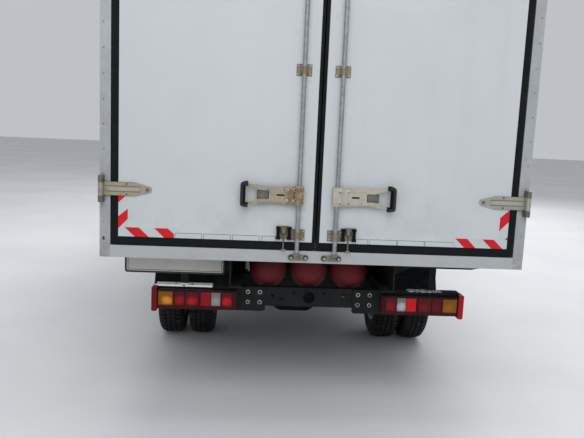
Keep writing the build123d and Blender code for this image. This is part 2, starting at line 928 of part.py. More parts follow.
# Two-piece propeller shaft, with flanges at its ends and a bearing slung under a bar between the rails
bearing_at = gearbox_rear_at - bearing_setback
with BuildPart() as propeller_shaft:
    flange_y = rear_axle_y + pinion_reach
    rod(flange_radius, (0, flange_y, pinion_z), (0, flange_y + flange_gap + flange_width, pinion_z))
    rod(shaft_radius, (0, flange_y + flange_gap, pinion_z), (0, ahead(bearing_at), bearing_z))
    front_flange_y = ahead(gearbox_rear_at) - flange_gap
    rod(shaft_radius, (0, ahead(bearing_at), bearing_z), (0, front_flange_y, gearbox_z))
    rod(flange_radius, (0, front_flange_y - flange_width, gearbox_z), (0, ahead(gearbox_rear_at), gearbox_z))
    bearing_y = (ahead(bearing_at), ahead(bearing_at + bearing_width))
    rod(bearing_radius, (0, bearing_y[0], bearing_z), (0, bearing_y[1], bearing_z))
    block(-bearing_half, bearing_half, *bearing_y, bearing_z, bearing_bar_bottom)
    bar_top_z = bearing_bar_bottom + bearing_bar_height
    block(-rail_web_x, rail_web_x, *bearing_y, bearing_bar_bottom, bar_top_z)
write(propeller_shaft.part, "propeller_shaft")

# Insulated box: floor between the walls, walls and roof as whole panels
inner_half_width = box_half_width - wall_thickness
panel_outer_x = box_half_width - trim_thickness
floor_top = box_bottom + floor_thickness
roof_bottom = box_top - roof_thickness
panel_y = (ahead(portal_depth), ahead(box_length))
wall_front_y = ahead(box_length - wall_thickness)
with BuildPart() as box_floor:
    block(-inner_half_width, inner_half_width, panel_y[0], wall_front_y, box_bottom, floor_top)
write(box_floor.part, "box_floor")

with BuildPart() as box_side_walls:
    for side, side_name in sides:
        lug(side, inner_half_width, panel_outer_x, *panel_y, box_bottom, roof_bottom)
write(box_side_walls.part, "box_side_walls")

with BuildPart() as box_front_wall:
    front_wall_y = (wall_front_y, ahead(box_length))
    block(-inner_half_width, inner_half_width, *front_wall_y, box_bottom, roof_bottom)
    block(-neck_half_width, neck_half_width, *front_wall_y, *neck_z, Mode.SUBTRACT)
write(box_front_wall.part, "box_front_wall")

with BuildPart() as box_roof:
    block(-panel_outer_x, panel_outer_x, *panel_y, roof_bottom, box_top - trim_thickness)
write(box_roof.part, "box_roof")

# Rear portal: a ring of posts, sill and header round both doors
opening_x = box_half_width - post_width
opening_bottom = box_bottom + sill_height
opening_top = door_top + seal_width + running_gap + 1
with BuildPart() as rear_frame:
    with BuildSketch(section(0)) as portal:
        with Locations((0, (box_bottom + box_top) / 2)):
            Rectangle(2 * box_half_width, box_top - box_bottom)
        with Locations((0, (opening_bottom + opening_top) / 2)):
            Rectangle(2 * opening_x, opening_top - opening_bottom, mode=Mode.SUBTRACT)
    extrude(amount=-portal_depth)
write(rear_frame.part, "rear_frame")

# Aluminium angles along the edges of the box: frames on both sides and on the roof
box_middle_y = (panel_y[0] + panel_y[1]) / 2
box_run = panel_y[1] - panel_y[0]
side_middle_z = (box_bottom + box_top) / 2
open_side_z = (box_bottom + trim_bottom_width, box_top - trim_width)
with BuildPart() as corner_trims:
    for side, side_name in sides:
        with BuildSketch(Plane.YZ.offset(min(side * panel_outer_x, side * box_half_width))) as side_trim:
            with Locations((box_middle_y, side_middle_z)):
                Rectangle(box_run, box_top - box_bottom)
            with Locations((box_middle_y, sum(open_side_z) / 2)):
                Rectangle(box_run - 2 * trim_width, open_side_z[1] - open_side_z[0], mode=Mode.SUBTRACT)
        extrude(amount=trim_thickness)
    with BuildSketch(Plane.XY.offset(box_top - trim_thickness)) as roof_trim:
        with Locations((0, box_middle_y)):
            Rectangle(2 * box_half_width, box_run)
            Rectangle(2 * (box_half_width - trim_width), box_run - 2 * trim_width, mode=Mode.SUBTRACT)
    extrude(amount=trim_thickness)
write(corner_trims.part, "corner_trims")

# Refrigeration unit on the front wall: condenser case outside, evaporator inside under the roof
unit_front_at = box_length + unit_depth
unit_outline = (
    (box_length, unit_bottom),
    (box_length, unit_top),
    (unit_front_at - unit_crown, unit_top),
    (unit_front_at, unit_top - unit_shoulder),
    (unit_front_at, unit_bottom),
)
pocket_at = unit_front_at - fan_pocket_depth
with BuildPart() as reefer_unit:
    side_prism(
        unit_outline, -unit_half_width, unit_half_width, (0, 0, unit_corner, unit_corner, unit_corner)
    )
    with BuildSketch(section(unit_front_at)) as fan_mouths:
        with Locations((-fan_x, fan_z), (fan_x, fan_z)):
            Circle(fan_radius + fan_mouth_gap)
    extrude(amount=unit_front_at - pocket_at, mode=Mode.SUBTRACT)
    with BuildSketch(section(unit_front_at)) as vents:
        with Locations((0, fan_z)):
            with GridLocations(2 * vent_x, vent_pitch, 2, vent_rows):
                SlotOverall(vent_width, vent_height)
    extrude(amount=vent_depth, mode=Mode.SUBTRACT)
    for side, side_name in sides:
        motor_end = (side * fan_x, ahead(pocket_at + motor_length), fan_z)
        shaft_end = (side * fan_x, ahead(pocket_at + motor_length + motor_gap + fan_depth / 2), fan_z)
        rod(motor_radius, (side * fan_x, ahead(pocket_at) - fit_gap, fan_z), motor_end)
        rod(motor_shaft_radius, (side * fan_x, ahead(pocket_at) - fit_gap, fan_z), shaft_end)
    block(-neck_half_width, neck_half_width, wall_front_y, ahead(box_length), *neck_z)
    cooler_y = (wall_front_y - evaporator_depth, wall_front_y)
    cooler_top = roof_bottom - evaporator_gap
    block(-evaporator_half_width, evaporator_half_width, *cooler_y, neck_z[0], cooler_top)
    foot_half_width = evaporator_half_width - trim_width
    foot_y = (cooler_y[0] + evaporator_gap, cooler_y[1] - trim_width)
    block(-foot_half_width, foot_half_width, *foot_y, cooler_top, roof_bottom)
write(reefer_unit.part, "reefer_unit")

# Condenser fans: a hub with twisted blades on the motor's shaft
blade_middle = (fan_hub_radius + fan_radius) / 2 - 1
blade_length = fan_radius - fan_hub_radius + 2
for side, side_name in sides:
    fan_rear_y = ahead(pocket_at + motor_length + motor_gap)
    fan_hub_depth = fan_depth - motor_gap
    fan_middle_y = fan_rear_y + fan_hub_depth / 2
    with BuildPart() as condenser_fan:
        hub_ends = [(side * fan_x, y, fan_z) for y in (fan_rear_y, fan_rear_y + fan_hub_depth)]
        rod(fan_hub_radius, *hub_ends)
        for blade in range(fan_blades):
            blade_place = Location((side * fan_x, fan_middle_y, fan_z), (0, blade * 360 / fan_blades, 0))
            with Locations(blade_place):
                with Locations(Location((0, 0, blade_middle), (0, 0, blade_twist))):
                    Box(blade_width, blade_thickness, blade_length)
        bore_end = (side * fan_x, fan_middle_y + motor_gap, fan_z)
        rod(motor_shaft_radius + pin_gap, (side * fan_x, fan_rear_y - 1, fan_z), bore_end, Mode.SUBTRACT)
    write(condenser_fan.part, f"condenser_fan_{side_name}")

# Rear doors: a whole panel each, a rubber ring round it, then straps, bars and handles
panel_inner_x = centre_seal_width + panel_inset
door_outer_x = opening_x - seal_width
door_bottom = opening_bottom + seal_bottom_width
door_y = (ahead(-door_proud), ahead(door_thickness - door_proud))
seal_y = (ahead(-door_parting), ahead(seal_depth))
door_face_y = ahead(-door_proud)
pin_y = ahead(-pin_proud)
bar_y = ahead(-bar_proud - door_proud)
guide_spans = (
    (door_bottom + guide_margin, door_bottom + guide_margin + guide_height),
    (guide_middle_z - guide_height / 2, guide_middle_z + guide_height / 2),
    (door_top - guide_height, door_top),
)


def leaf_plan(x0, x1, y0, y1):
    """A leaf in plan, whose free edge leans back to clear the other leaf as it swings."""
    return [(x0, y0), (x1, y0), (x1, y1), (x0 + door_bevel, y1)]


def mirrored(points, side, z=0.0):
    """Points given as (x, height) for the right-hand side, moved to a side and up to z."""
    return [(side * x, z + height) for x, height in points]


def both_ways(points):
    """An outline that is symmetrical about its middle height, from its upper half."""
    return [*points, *[(x, -height) for x, height in reversed(points)]]


def strap_hinge(side, strap_z):
    """The moving half of a rear hinge: a pointed strap with a raised rib, rolled round the pin."""
    half = strap_height / 2
    root_x = pin_x - knuckle_radius
    tip_x = pin_x - strap_length
    shoulder_x = pin_x - strap_shoulder
    upper = ((root_x, half), (shoulder_x, half), (tip_x, strap_tip_half))
    radii = (0, strap_shoulder_radius, strap_tip_radius, strap_tip_radius, strap_shoulder_radius, 0)
    strap = profile(section(-door_proud), mirrored(both_ways(upper), side, strap_z), radii)
    extrude(strap, amount=strap_plate)
    with BuildSketch(section(-door_proud)) as rib:
        with Locations((side * (pin_x - rib_middle), strap_z)):
            SlotOverall(rib_length, rib_height)
    extrude(rib.sketch, amount=strap_plate + rib_proud)
    upright_rod(knuckle_radius, side * pin_x, pin_y, strap_z - half, strap_z + half)
    lug(side, root_x, root_x + strap_plate, pin_y, door_face_y, strap_z - half, strap_z + half)
    bore_z = (strap_z - strap_height, strap_z + strap_height)
    upright_rod(pin_radius + pin_gap, side * pin_x, pin_y, *bore_z, Mode.SUBTRACT)


def bar_guide(side, z0, z1):
    """A plate on the door with a saddle round the lock bar."""
    lug(side, bar_x - guide_width / 2, bar_x + guide_width / 2, door_face_y - guide_plate, door_face_y, z0, z1)
    saddle_z = (z0 + saddle_inset, z1 - saddle_inset)
    lug(side, bar_x - saddle_half_width, bar_x + saddle_half_width, bar_y, door_face_y, *saddle_z)
    upright_rod(bar_radius + saddle_wall, side * bar_x, bar_y, *saddle_z)


def bar_handle(side):
    """The handle of a lock bar: a sleeve, a plate that opens into a fork, and a grip across its ends."""
    sleeve_half = bar_radius + handle_sleeve_wall
    half = handle_height / 2
    lug(
        side,
        bar_x - handle_sleeve_half,
        bar_x + handle_sleeve_half,
        bar_y - sleeve_half,
        bar_y + sleeve_half,
        handle_z - half,
        handle_z + half,
    )
    plate_plane = Plane.XZ.offset(-(bar_y + handle_plate / 2))
    grip_inner_x = grip_outer_x - grip_width
    fork_end_x = grip_outer_x - grip_bar
    tip_half = grip_height / 2 - running_gap
    plate_upper = ((bar_x, half), (handle_waist_x, handle_waist_half), (fork_end_x, tip_half))
    extrude(profile(plate_plane, mirrored(both_ways(plate_upper), side, handle_z)), amount=handle_plate)
    opening_upper = ((fork_x, fork_half), (fork_end_x + 1, fork_tip_half))
    opening = profile(plate_plane, mirrored(both_ways(opening_upper), side, handle_z))
    extrude(opening, amount=handle_plate, mode=Mode.SUBTRACT)
    with BuildSketch(plate_plane) as key_slot:
        with Locations((side * handle_slot_x, handle_z)):
            SlotOverall(*handle_slot)
    extrude(key_slot.sketch, amount=handle_plate, mode=Mode.SUBTRACT)
    with BuildSketch(section(-handle_reach)) as grip:
        with Locations((side * (grip_outer_x - grip_width / 2), handle_z)):
            RectangleRounded(grip_width, grip_height, grip_corner)
        with Locations((side * (grip_inner_x + (grip_width - grip_bar) / 2 - grip_corner / 2), handle_z)):
            Rectangle(grip_width - grip_bar + grip_corner, grip_height - 2 * grip_bar, mode=Mode.SUBTRACT)
        with Locations((side * (grip_inner_x - grip_corner / 2), handle_z)):
            Rectangle(2 * grip_corner, grip_height, mode=Mode.SUBTRACT)
    extrude(grip.sketch, amount=-(bar_y + handle_plate / 2 - ahead(-handle_reach)))
    lug(side, *latch_x, bar_y, door_face_y, handle_z - latch_half, handle_z + latch_half)


def handle_clip(side):
    """The catch below the handle: a plate with two rubber cheeks."""
    lug(side, *clip_x, door_face_y - clip_plate, door_face_y, *clip_z)
    for cheek_x in (clip_x[0], clip_x[1] - clip_cheek):
        lug(side, cheek_x, cheek_x + clip_cheek, door_face_y - clip_depth, door_face_y, *clip_z)


for side, side_name in sides:
    with BuildPart() as rear_door:
        plan_prism(leaf_plan(panel_inner_x, door_outer_x, *door_y), side, door_bottom, door_top)
    write(rear_door.part, f"rear_door_{side_name}")

    with BuildPart() as door_seal:
        seal_outer_x = opening_x - running_gap - 1
        seal_z = (opening_bottom + running_gap + 1, door_top + seal_width)
        plan_prism(leaf_plan(seal_inner_x, seal_outer_x, *seal_y), side, *seal_z)
        panel_plan = leaf_plan(panel_inner_x, door_outer_x, *door_y)
        plan_prism(panel_plan, side, door_bottom, door_top, Mode.SUBTRACT)
    write(door_seal.part, f"door_seal_{side_name}")

    with BuildPart() as door_fittings:
        for strap_z in hinge_z:
            strap_hinge(side, strap_z)
        upright_rod(bar_radius, side * bar_x, bar_y, bar_bottom, bar_top)
        for guide_span in guide_spans:
            bar_guide(side, *guide_span)
        bar_handle(side)
        handle_clip(side)
    write(door_fittings.part, f"door_fittings_{side_name}")

# Fixed hinge lugs with their pins on the posts, and the keepers that take the ends of the bars
with BuildPart() as door_brackets:
    for side, side_name in sides:
        for strap_z in hinge_z:
            half = strap_height / 2
            for way in (-1, 1):
                near = strap_z + way * (half + knuckle_gap)
                far = strap_z + way * (half + knuckle_gap + fixed_knuckle_height)
                lug_z = sorted((near, far))
                upright_rod(knuckle_radius, side * pin_x, pin_y, *lug_z)
                lug(side, pin_x - knuckle_radius, box_half_width, pin_y, ahead(0), *lug_z)
            pin_z = (strap_z - half - pin_overhang, strap_z + half + pin_overhang)
            upright_rod(pin_radius, side * pin_x, pin_y, *pin_z)
        header_keeper_z = (opening_top + box_top) / 2
        for middle_z in (keeper_z, header_keeper_z):
            keeper_x = side * (bar_x - keeper_offset)
            with BuildSketch(section(0)) as keeper:
                with Locations((keeper_x, middle_z)):
                    SlotOverall(keeper_width, keeper_height)
            extrude(amount=keeper_plate)
            with BuildSketch(section(-keeper_plate)) as keeper_bolts:
                with Locations((keeper_x, middle_z)):
                    with GridLocations(keeper_bolt_spacing, 0, 2, 1):
                        RegularPolygon(keeper_bolt_radius, 6)
            extrude(amount=keeper_bolt_height)
write(door_brackets.part, "door_brackets")

# Tyre in half section: (radius, half width)
tyre_section = (
    (bead_radius, bead_width / 2),
    (bead_radius + lip_height + 2, bead_width / 2),
    (bulge_radius, tyre_width / 2),
    (tyre_radius - shoulder_drop, tyre_width / 2 - shoulder_drop / 2),
    (tyre_radius, tread_width / 2),
)

# Rim barrel in half section: (half width, radius)
barrel_section = (
    (bead_width / 2 + lip_width, bead_radius + lip_height),
    (bead_width / 2 + lip_width, bead_radius + disc_taper),
    (bead_width / 2 + disc_taper, bead_radius - rim_wall),
    (well_half_width, bead_radius - rim_wall - well_drop),
)


def turned(plane_z, y, points):
    """Revolves an outline of (x, radius) points about the wheel axis through y and plane_z."""
    outline = profile(Plane.XY.offset(plane_z), [(x, y + radius) for x, radius in points])
    revolve(outline, axis=Axis((0, y, plane_z), (1, 0, 0)))


def tyre(x, y):
    """A tyre with its middle at x, turned about the axle line."""
    right = [(x + half, radius) for radius, half in tyre_section]
    left = [(x - half, radius) for radius, half in reversed(tyre_section)]
    turned(axle_z, y, [*right, *left])


def rim(side, x, y, flange, edge):
    """A pressed steel wheel: a barrel with lips, and a dished disc from its hub `flange` out to `edge`."""
    outside = [
        (bead_width / 2, bead_radius),
        (bead_width / 2, bead_radius + lip_height),
        *barrel_section,
    ]
    right = [(x + half, radius) for half, radius in outside]
    left = [(x - half, radius) for half, radius in reversed(outside)]
    turned(axle_z, y, [*right, *left])
    plate = math.copysign(disc_wall, edge - flange)
    disc_rim = bead_radius - rim_wall - well_drop + disc_taper
    wheel_face = (
        (flange, hub_radius - 2),
        (flange, disc_flat_radius),
        (edge, disc_rim),
        (edge + plate, disc_rim),
        (flange + plate, disc_flat_radius - disc_taper),
        (flange + plate, hub_radius - 2),
    )
    turned(axle_z, y, [(x + side * away, radius) for away, radius in wheel_face])
    with BuildSketch(Plane.YZ.offset(x - bead_width)) as hand_holes:
        with Locations((y, axle_z)):
            with PolarLocations(wheel_hole_circle, wheel_hole_count):
                Circle(wheel_hole_radius)
    extrude(hand_holes.sketch, amount=2 * bead_width, mode=Mode.SUBTRACT)


for side, side_name in sides:
    with BuildPart() as tyre_front:
        tyre(side * front_wheel_x, front_axle_y)
    write(tyre_front.part, f"tyre_front_{side_name}")

    with BuildPart() as rim_front:
        rim(side, side * front_wheel_x, front_axle_y, wheel_offset, disc_edge)
        hub_inner_x = kingpin_x + disc_x[1] + running_gap + 2
        hub_outer_x = front_wheel_x + wheel_offset + hub_outer_reach
        cross_rod(side, hub_radius, hub_inner_x, hub_outer_x, front_axle_y, axle_z)
        bore_x = (hub_inner_x - 1, hub_outer_x - hub_cap_wall)
        cross_rod(side, spindle_radius + pin_gap, *bore_x, front_axle_y, axle_z, Mode.SUBTRACT)
    write(rim_front.part, f"rim_front_{side_name}")

    with BuildPart() as tyres_rear:
        for twin in (-1, 1):
            tyre(side * (rear_wheel_x + twin * wheel_offset), rear_axle_y)
    write(tyres_rear.part, f"tyres_rear_{side_name}")

    with BuildPart() as rims_rear:
        for twin in (-1, 1):
            twin_x = side * (rear_wheel_x + twin * wheel_offset)
            rim(side, twin_x, rear_axle_y, -twin * wheel_offset, -twin * disc_edge)
        drum_face_x = drum_outer_x - drum_wall
        hub_cap_x = rear_wheel_x + hub_radius + hub_outer_reach
        cross_rod(side, hub_radius, drum_face_x, hub_cap_x, rear_axle_y, axle_z)
        cross_rod(side, drum_radius, drum_inner_x, drum_outer_x, rear_axle_y, axle_z)
        drum_bore = drum_radius - drum_wall
        cross_rod(side, drum_bore, drum_inner_x - 1, drum_face_x, rear_axle_y, axle_z, Mode.SUBTRACT)
        bore_x = (drum_face_x - 1, rear_wheel_x + hub_radius + running_gap + 1)
        cross_rod(side, stub_radius + pin_gap, *bore_x, rear_axle_y, axle_z, Mode.SUBTRACT)
    write(rims_rear.part, f"rims_rear_{side_name}")

# Front axle: a dropped I beam with an eye at each end for the kingpin
eye_ends = (axle_z - eye_height / 2, axle_z + eye_height / 2)
beam_upper = (
    (kingpin_x, beam_high_z[1]),
    (beam_drop_x[1], beam_high_z[1]),
    (beam_drop_x[0], beam_low_z[1]),
)
beam_lower = (
    (beam_drop_x[0], beam_low_z[0]),
    (beam_drop_x[1], beam_high_z[0]),
    (kingpin_x, beam_high_z[0]),
)
with BuildPart() as front_axle:
    beam_plane = Plane.XZ.offset(-(front_axle_y - beam_half_depth))
    for side, side_name in sides:
        arm_outline = [(0, beam_low_z[1]), *mirrored(reversed(beam_upper), side)]
        arm_outline += [*mirrored(reversed(beam_lower), side), (0, beam_low_z[0])]
        radii = (0, beam_blend, beam_blend, 0, 0, beam_blend, beam_blend, 0)
        extrude(profile(beam_plane, arm_outline, radii), amount=-2 * beam_half_depth)
    for face_y in (front_axle_y - beam_half_depth, front_axle_y + beam_half_depth - beam_recess_depth):
        recess_y = (face_y, face_y + beam_recess_depth)
        middle_z = sum(beam_low_z) / 2
        recess_z = (middle_z - beam_recess_height / 2, middle_z + beam_recess_height / 2)
        block(-beam_recess_half, beam_recess_half, *recess_y, *recess_z, Mode.SUBTRACT)
    for side, side_name in sides:
        x = side * spring_x
        plate_y = (front_axle_y - clamp_half_length, front_axle_y + clamp_half_length)
        block(x - clamp_half_width, x + clamp_half_width, *plate_y, front_seat_z - clamp_plate, front_seat_z)
        upright_rod(eye_radius, side * kingpin_x, front_axle_y, *eye_ends)
        bore_z = (eye_ends[0] - 1, eye_ends[1] + 1)
        upright_rod(kingpin_radius + pin_gap, side * kingpin_x, front_axle_y, *bore_z, Mode.SUBTRACT)
write(front_axle.part, "front_axle")

# Knuckles: a fork round the eye with its kingpin, the spindle, a brake disc and the steering arm
arm_pin_y = front_axle_y - arm_reach
lower_plate_z = eye_ends[0] - fork_gap - fork_plate
fork_spans = (
    (lower_plate_z, lower_plate_z + fork_plate),
    (eye_ends[1] + fork_gap, eye_ends[1] + fork_gap + fork_plate),
)
for side, side_name in sides:
    with BuildPart() as knuckle:
        for fork_span in fork_spans:
            upright_rod(eye_radius, side * kingpin_x, front_axle_y, *fork_span)
            fork_y = (front_axle_y - lug_half, front_axle_y + lug_half)
            lug(side, kingpin_x, kingpin_x + fork_reach, *fork_y, *fork_span)
        pin_ends = (fork_spans[0][1] - running_gap, fork_spans[1][0] + running_gap)
        upright_rod(kingpin_radius, side * kingpin_x, front_axle_y, *pin_ends)
        carrier_y = (front_axle_y - carrier_half, front_axle_y + carrier_half)
        carrier_ends = (kingpin_x + carrier_x[0], kingpin_x + carrier_x[1])
        lug(side, *carrier_ends, *carrier_y, fork_spans[0][0], fork_spans[1][1])
        spindle_x = (kingpin_x + carrier_x[0], kingpin_x + spindle_reach)
        cross_rod(side, spindle_radius, *spindle_x, front_axle_y, axle_z)
        disc_ends = (kingpin_x + disc_x[0], kingpin_x + disc_x[1])
        cross_rod(side, disc_radius, *disc_ends, front_axle_y, axle_z)
        arm_plan = (
            (kingpin_x + arm_root_half, front_axle_y - arm_root_half / 2),
            (kingpin_x - arm_root_half, front_axle_y - arm_root_half / 2),
            (kingpin_x - arm_tip_half, arm_pin_y),
            (kingpin_x + arm_tip_half, arm_pin_y),
        )
        plan_prism(arm_plan, side, *fork_spans[0])
        upright_rod(arm_eye_radius, side * kingpin_x, arm_pin_y, *fork_spans[0])
        ball_pin_z = (rod_z - ball_pin_drop, lower_plate_z + running_gap)
        upright_rod(ball_pin_radius, side * kingpin_x, arm_pin_y, *ball_pin_z)
    write(knuckle.part, f"knuckle_{side_name}")

with BuildPart() as tie_rod:
    rod(rod_radius, (-kingpin_x, arm_pin_y, rod_z), (kingpin_x, arm_pin_y, rod_z))
    for side, side_name in sides:
        rod_eye_z = (rod_z - rod_eye_half, rod_z + rod_eye_half)
        upright_rod(rod_eye_radius, side * kingpin_x, arm_pin_y, *rod_eye_z)
        bore_z = (rod_z - rod_eye_radius, rod_z + rod_eye_radius)
        upright_rod(ball_pin_radius + pin_gap, side * kingpin_x, arm_pin_y, *bore_z, Mode.SUBTRACT)
write(tie_rod.part, "tie_rod")

# Rear mudguards: a rolled sheet over the twin wheels with a flap behind, on feet under two outriggers
with BuildPart() as mudguards:
    guard_inner_x = rear_outer_x - twin_pitch - tyre_width - guard_side_gap
    guard_width = rear_outer_x + guard_side_gap - guard_inner_x
    flap_y = rear_axle_y - guard_radius - guard_wall
    flap_height = axle_z + 2 * guard_lower_edge - flap_bottom
    clear_height = 2 * guard_radius
    for side, side_name in sides:
        guard_start = min(side * guard_inner_x, side * (guard_inner_x + guard_width))
        with BuildSketch(Plane.YZ.offset(guard_start)) as rolled_sheet:
            with Locations((rear_axle_y, axle_z)):
                Circle(guard_radius + guard_wall)
                Circle(guard_radius, mode=Mode.SUBTRACT)
            with Locations((rear_axle_y, axle_z + guard_lower_edge - clear_height / 2)):
                Rectangle(3 * guard_radius, clear_height, mode=Mode.SUBTRACT)
            with Locations((flap_y + guard_wall / 2, flap_bottom + flap_height / 2)):
                Rectangle(guard_wall, flap_height)
        extrude(amount=guard_width)
        for foot_at in (outrigger_rear_at + 2 * outrigger_pitch, outrigger_rear_at + 3 * outrigger_pitch):
            foot_y = (ahead(foot_at), ahead(foot_at) + outrigger_width)
            lug(side, *guard_foot_x, *foot_y, guard_foot_z, box_bottom - outrigger_height)
        well_start = (guard_start, rear_axle_y, axle_z)
        rod(guard_radius, well_start, (guard_start + guard_width, rear_axle_y, axle_z), Mode.SUBTRACT)
write(mudguards.part, "mudguards")

# Fuel tank with its bands on the right-hand rail, and a battery locker on the left-hand one
with BuildPart() as side_tanks:
    tank_width = tank_outer_x - rail_outer_x
    tank_height = tank_z[1] - tank_z[0]
    tank_middle = (rail_outer_x + tank_width / 2, sum(tank_z) / 2)
    with BuildSketch(section(tank_rear_at)) as tank:
        with Locations(tank_middle):
            RectangleRounded(tank_width, tank_height, tank_corner)
    extrude(amount=-tank_length)
    for band_at in (tank_band_inset, tank_length - tank_band_inset - tank_band_width):
        with BuildSketch(section(tank_rear_at + band_at)) as band:
            with Locations(tank_middle):
                RectangleRounded(tank_width, tank_height + 2 * tank_band, tank_corner)
            with Locations((tank_middle[0] + tank_band, tank_middle[1])):
                RectangleRounded(tank_width, tank_height + 2 * tank_band, tank_corner)
        extrude(amount=-tank_band_width)
    locker_width = locker_outer_x - rail_outer_x
    locker_height = locker_z[1] - locker_z[0]
    with BuildSketch(section(locker_rear_at)) as locker:
        with Locations((-rail_outer_x - locker_width / 2, sum(locker_z) / 2)):
            RectangleRounded(locker_width, locker_height, locker_corner)
    extrude(amount=-locker_length)
    lid_x = (rail_outer_x + locker_corner, locker_outer_x + locker_lid)
    lid_y = (ahead(locker_rear_at) - locker_lid, ahead(locker_rear_at + locker_length) + locker_lid)
    lug(-1, *lid_x, *lid_y, locker_z[1] - locker_corner, locker_z[1] + locker_lid)
write(side_tanks.part, "side_tanks")

# Exhaust: one swept pipe through a silencer, with its tail turned down, hung from a cross member
with BuildPart() as exhaust:
    silencer_at = gearbox_rear_at - silencer_setback
    pipe_front = (exhaust_x, ahead(gearbox_front_at - pipe_front_gap), exhaust_z)
    pipe_bend = (exhaust_x, ahead(gearbox_front_at - tail_setback), exhaust_z)
    pipe_end = (exhaust_x, ahead(gearbox_front_at - tail_setback) - tail_drop, exhaust_z - tail_drop)
    with BuildLine() as pipe_path:
        FilletPolyline(pipe_front, pipe_bend, pipe_end, radius=tail_bend)
    with BuildSketch(Plane(origin=pipe_front, z_dir=(0, -1, 0))):
        Circle(pipe_radius)
    sweep(path=pipe_path.line)
    silencer_ends = (ahead(silencer_at), ahead(silencer_at + silencer_length))
    rod(silencer_radius, (exhaust_x, silencer_ends[0], exhaust_z), (exhaust_x, silencer_ends[1], exhaust_z))
    hanger_x = (exhaust_x - hanger_width / 2, exhaust_x + hanger_width / 2)
    member_rear = ahead(middle_member_at - member_depth / 2)
    block(*hanger_x, member_rear - hanger_wall, member_rear, exhaust_z, member_z)
write(exhaust.part, "exhaust")

# Cab outlines: from the side as (distance ahead, z), from the front as (x, z), in plan as (x, distance)
side_outline = (
    (cab_rear_at, cab_bottom),
    (cab_rear_at, cab_roof),
    (roof_front_at, cab_roof),
    (screen_base_at, cab_belt),
    (crest_at, crest_z),
    (nose_at, nose_top),
    (nose_at, cab_bottom),
)
side_radii = (0, roof_rear_radius, roof_front_radius, scuttle_radius, crest_radius, crest_radius, 0)
front_outline = (
    (-cab_half_width, cab_bottom),
    (-cab_half_width, cab_belt),
    (-roof_half_width, cab_roof),
    (roof_half_width, cab_roof),
    (cab_half_width, cab_belt),
    (cab_half_width, cab_bottom),
)
front_radii = (0, belt_radius, roof_side_radius, roof_side_radius, belt_radius, 0)
plan_half = (
    (cab_half_width, ahead(cab_rear_at)),
    (cab_half_width, ahead(nose_at - nose_corner_setback[0])),
    (nose_corner_x[0], ahead(nose_at - nose_corner_setback[1])),
    (nose_corner_x[1], ahead(nose_at)),
)
plan_outline = (*[(-x, y) for x, y in plan_half], *reversed(plan_half))
plan_radii = (rear_corner_radius, nose_side_radius, nose_corner_radius, nose_corner_radius)
plan_radii = (*plan_radii, *reversed(plan_radii))


def drawn_in(points, radii, inset):
    """A clockwise outline and the radii of its corners, with each side moved in by `inset`."""
    corners = [Vector(*point) for point in points]
    moved_points = []
    moved_radii = []
    for number, (corner, radius) in enumerate(zip(corners, radii)):
        before = (corner - corners[number - 1]).normalized()
        after = (corners[(number + 1) % len(corners)] - corner).normalized()
        inward = Vector(before.Y + after.Y, -before.X - after.X) * (inset / (1 + before.dot(after)))
        turn = before.X * after.Y - before.Y * after.X
        moved_points.append((corner.X + inward.X, corner.Y + inward.Y))
        moved_radii.append(radius and radius + math.copysign(inset, turn))
    return moved_points, moved_radii


def outline_face(plane, points, radii, inset):
    """An outline with rounded corners as a face, drawn in by `inset`."""
    return profile(plane, *drawn_in(points, radii, inset))


def cab_solid(inset):
    """The cab as a solid body: what its three outlines share, each drawn in by `inset`."""
    side_plane = Plane.YZ.offset(-cab_half_width - cutter_reach)
    front_plane = section(nose_at + cutter_reach)
    plan_plane = Plane.XY.offset(cab_bottom - cutter_reach)
    side_face = outline_face(side_plane, from_the_side(side_outline), side_radii, inset)
    front_face = outline_face(front_plane, front_outline, front_radii, inset)
    plan_face = outline_face(plan_plane, plan_outline, plan_radii, inset)
    with BuildPart() as solid:
        extrude(side_face, amount=2 * (cab_half_width + cutter_reach))
        extrude(front_face, amount=cab_length + 2 * cutter_reach, mode=Mode.INTERSECT)
        extrude(plan_face, amount=cab_roof - cab_bottom + 2 * cutter_reach, mode=Mode.INTERSECT)
    return solid.part


def clipped(solid, x0, x1, y0, y1, z0, z1):
    """The part of a solid that lies inside a box."""
    with BuildPart() as piece:
        add(solid)
        block(x0, x1, y0, y1, z0, z1, Mode.INTERSECT)
    return piece.part


def cutter(plane, points, radius, depth, both=False):
    """A free prism on a plane, used to cut or to keep what lies inside it."""
    with BuildPart() as tool:
        extrude(profile(plane, points, radius), amount=depth, both=both)
    return tool.part


def rectangle(x0, x1, z0, z1):
    """The corners of an upright rectangle."""
    return ((x0, z0), (x1, z0), (x1, z1), (x0, z1))


def between(outer, inner, window):
    """The layer between two solids, as far as it lies inside a window."""
    with BuildPart() as layer:
        add(outer)
        add(inner, mode=Mode.SUBTRACT)
        add(window, mode=Mode.INTERSECT)
    return layer.part


def side_window(side, points, radius, inner_x):
    """A cutter drawn from the side, from inner_x out past the skin of one side of the cab."""
    outer_x = cab_half_width + cutter_reach
    start = min(side * inner_x, side * outer_x)
    return cutter(Plane.YZ.offset(start), from_the_side(points), radius, outer_x - inner_x)


def arch_liner(side):
    """The inner wall of a front wheel arch, within the cab's own outline."""
    liner_x = (arch_inner_x - arch_liner_wall, cab_half_width)
    liner_y = (front_axle_y - 2 * arch_radius, front_axle_y + 2 * arch_radius)
    with BuildPart() as liner:
        cross_rod(side, arch_radius + arch_liner_wall, *liner_x, front_axle_y, axle_z)
        add(cab_outer, mode=Mode.INTERSECT)
        lug(side, *liner_x, *liner_y, arch_bottom, cab_belt, Mode.INTERSECT)
    return liner.part


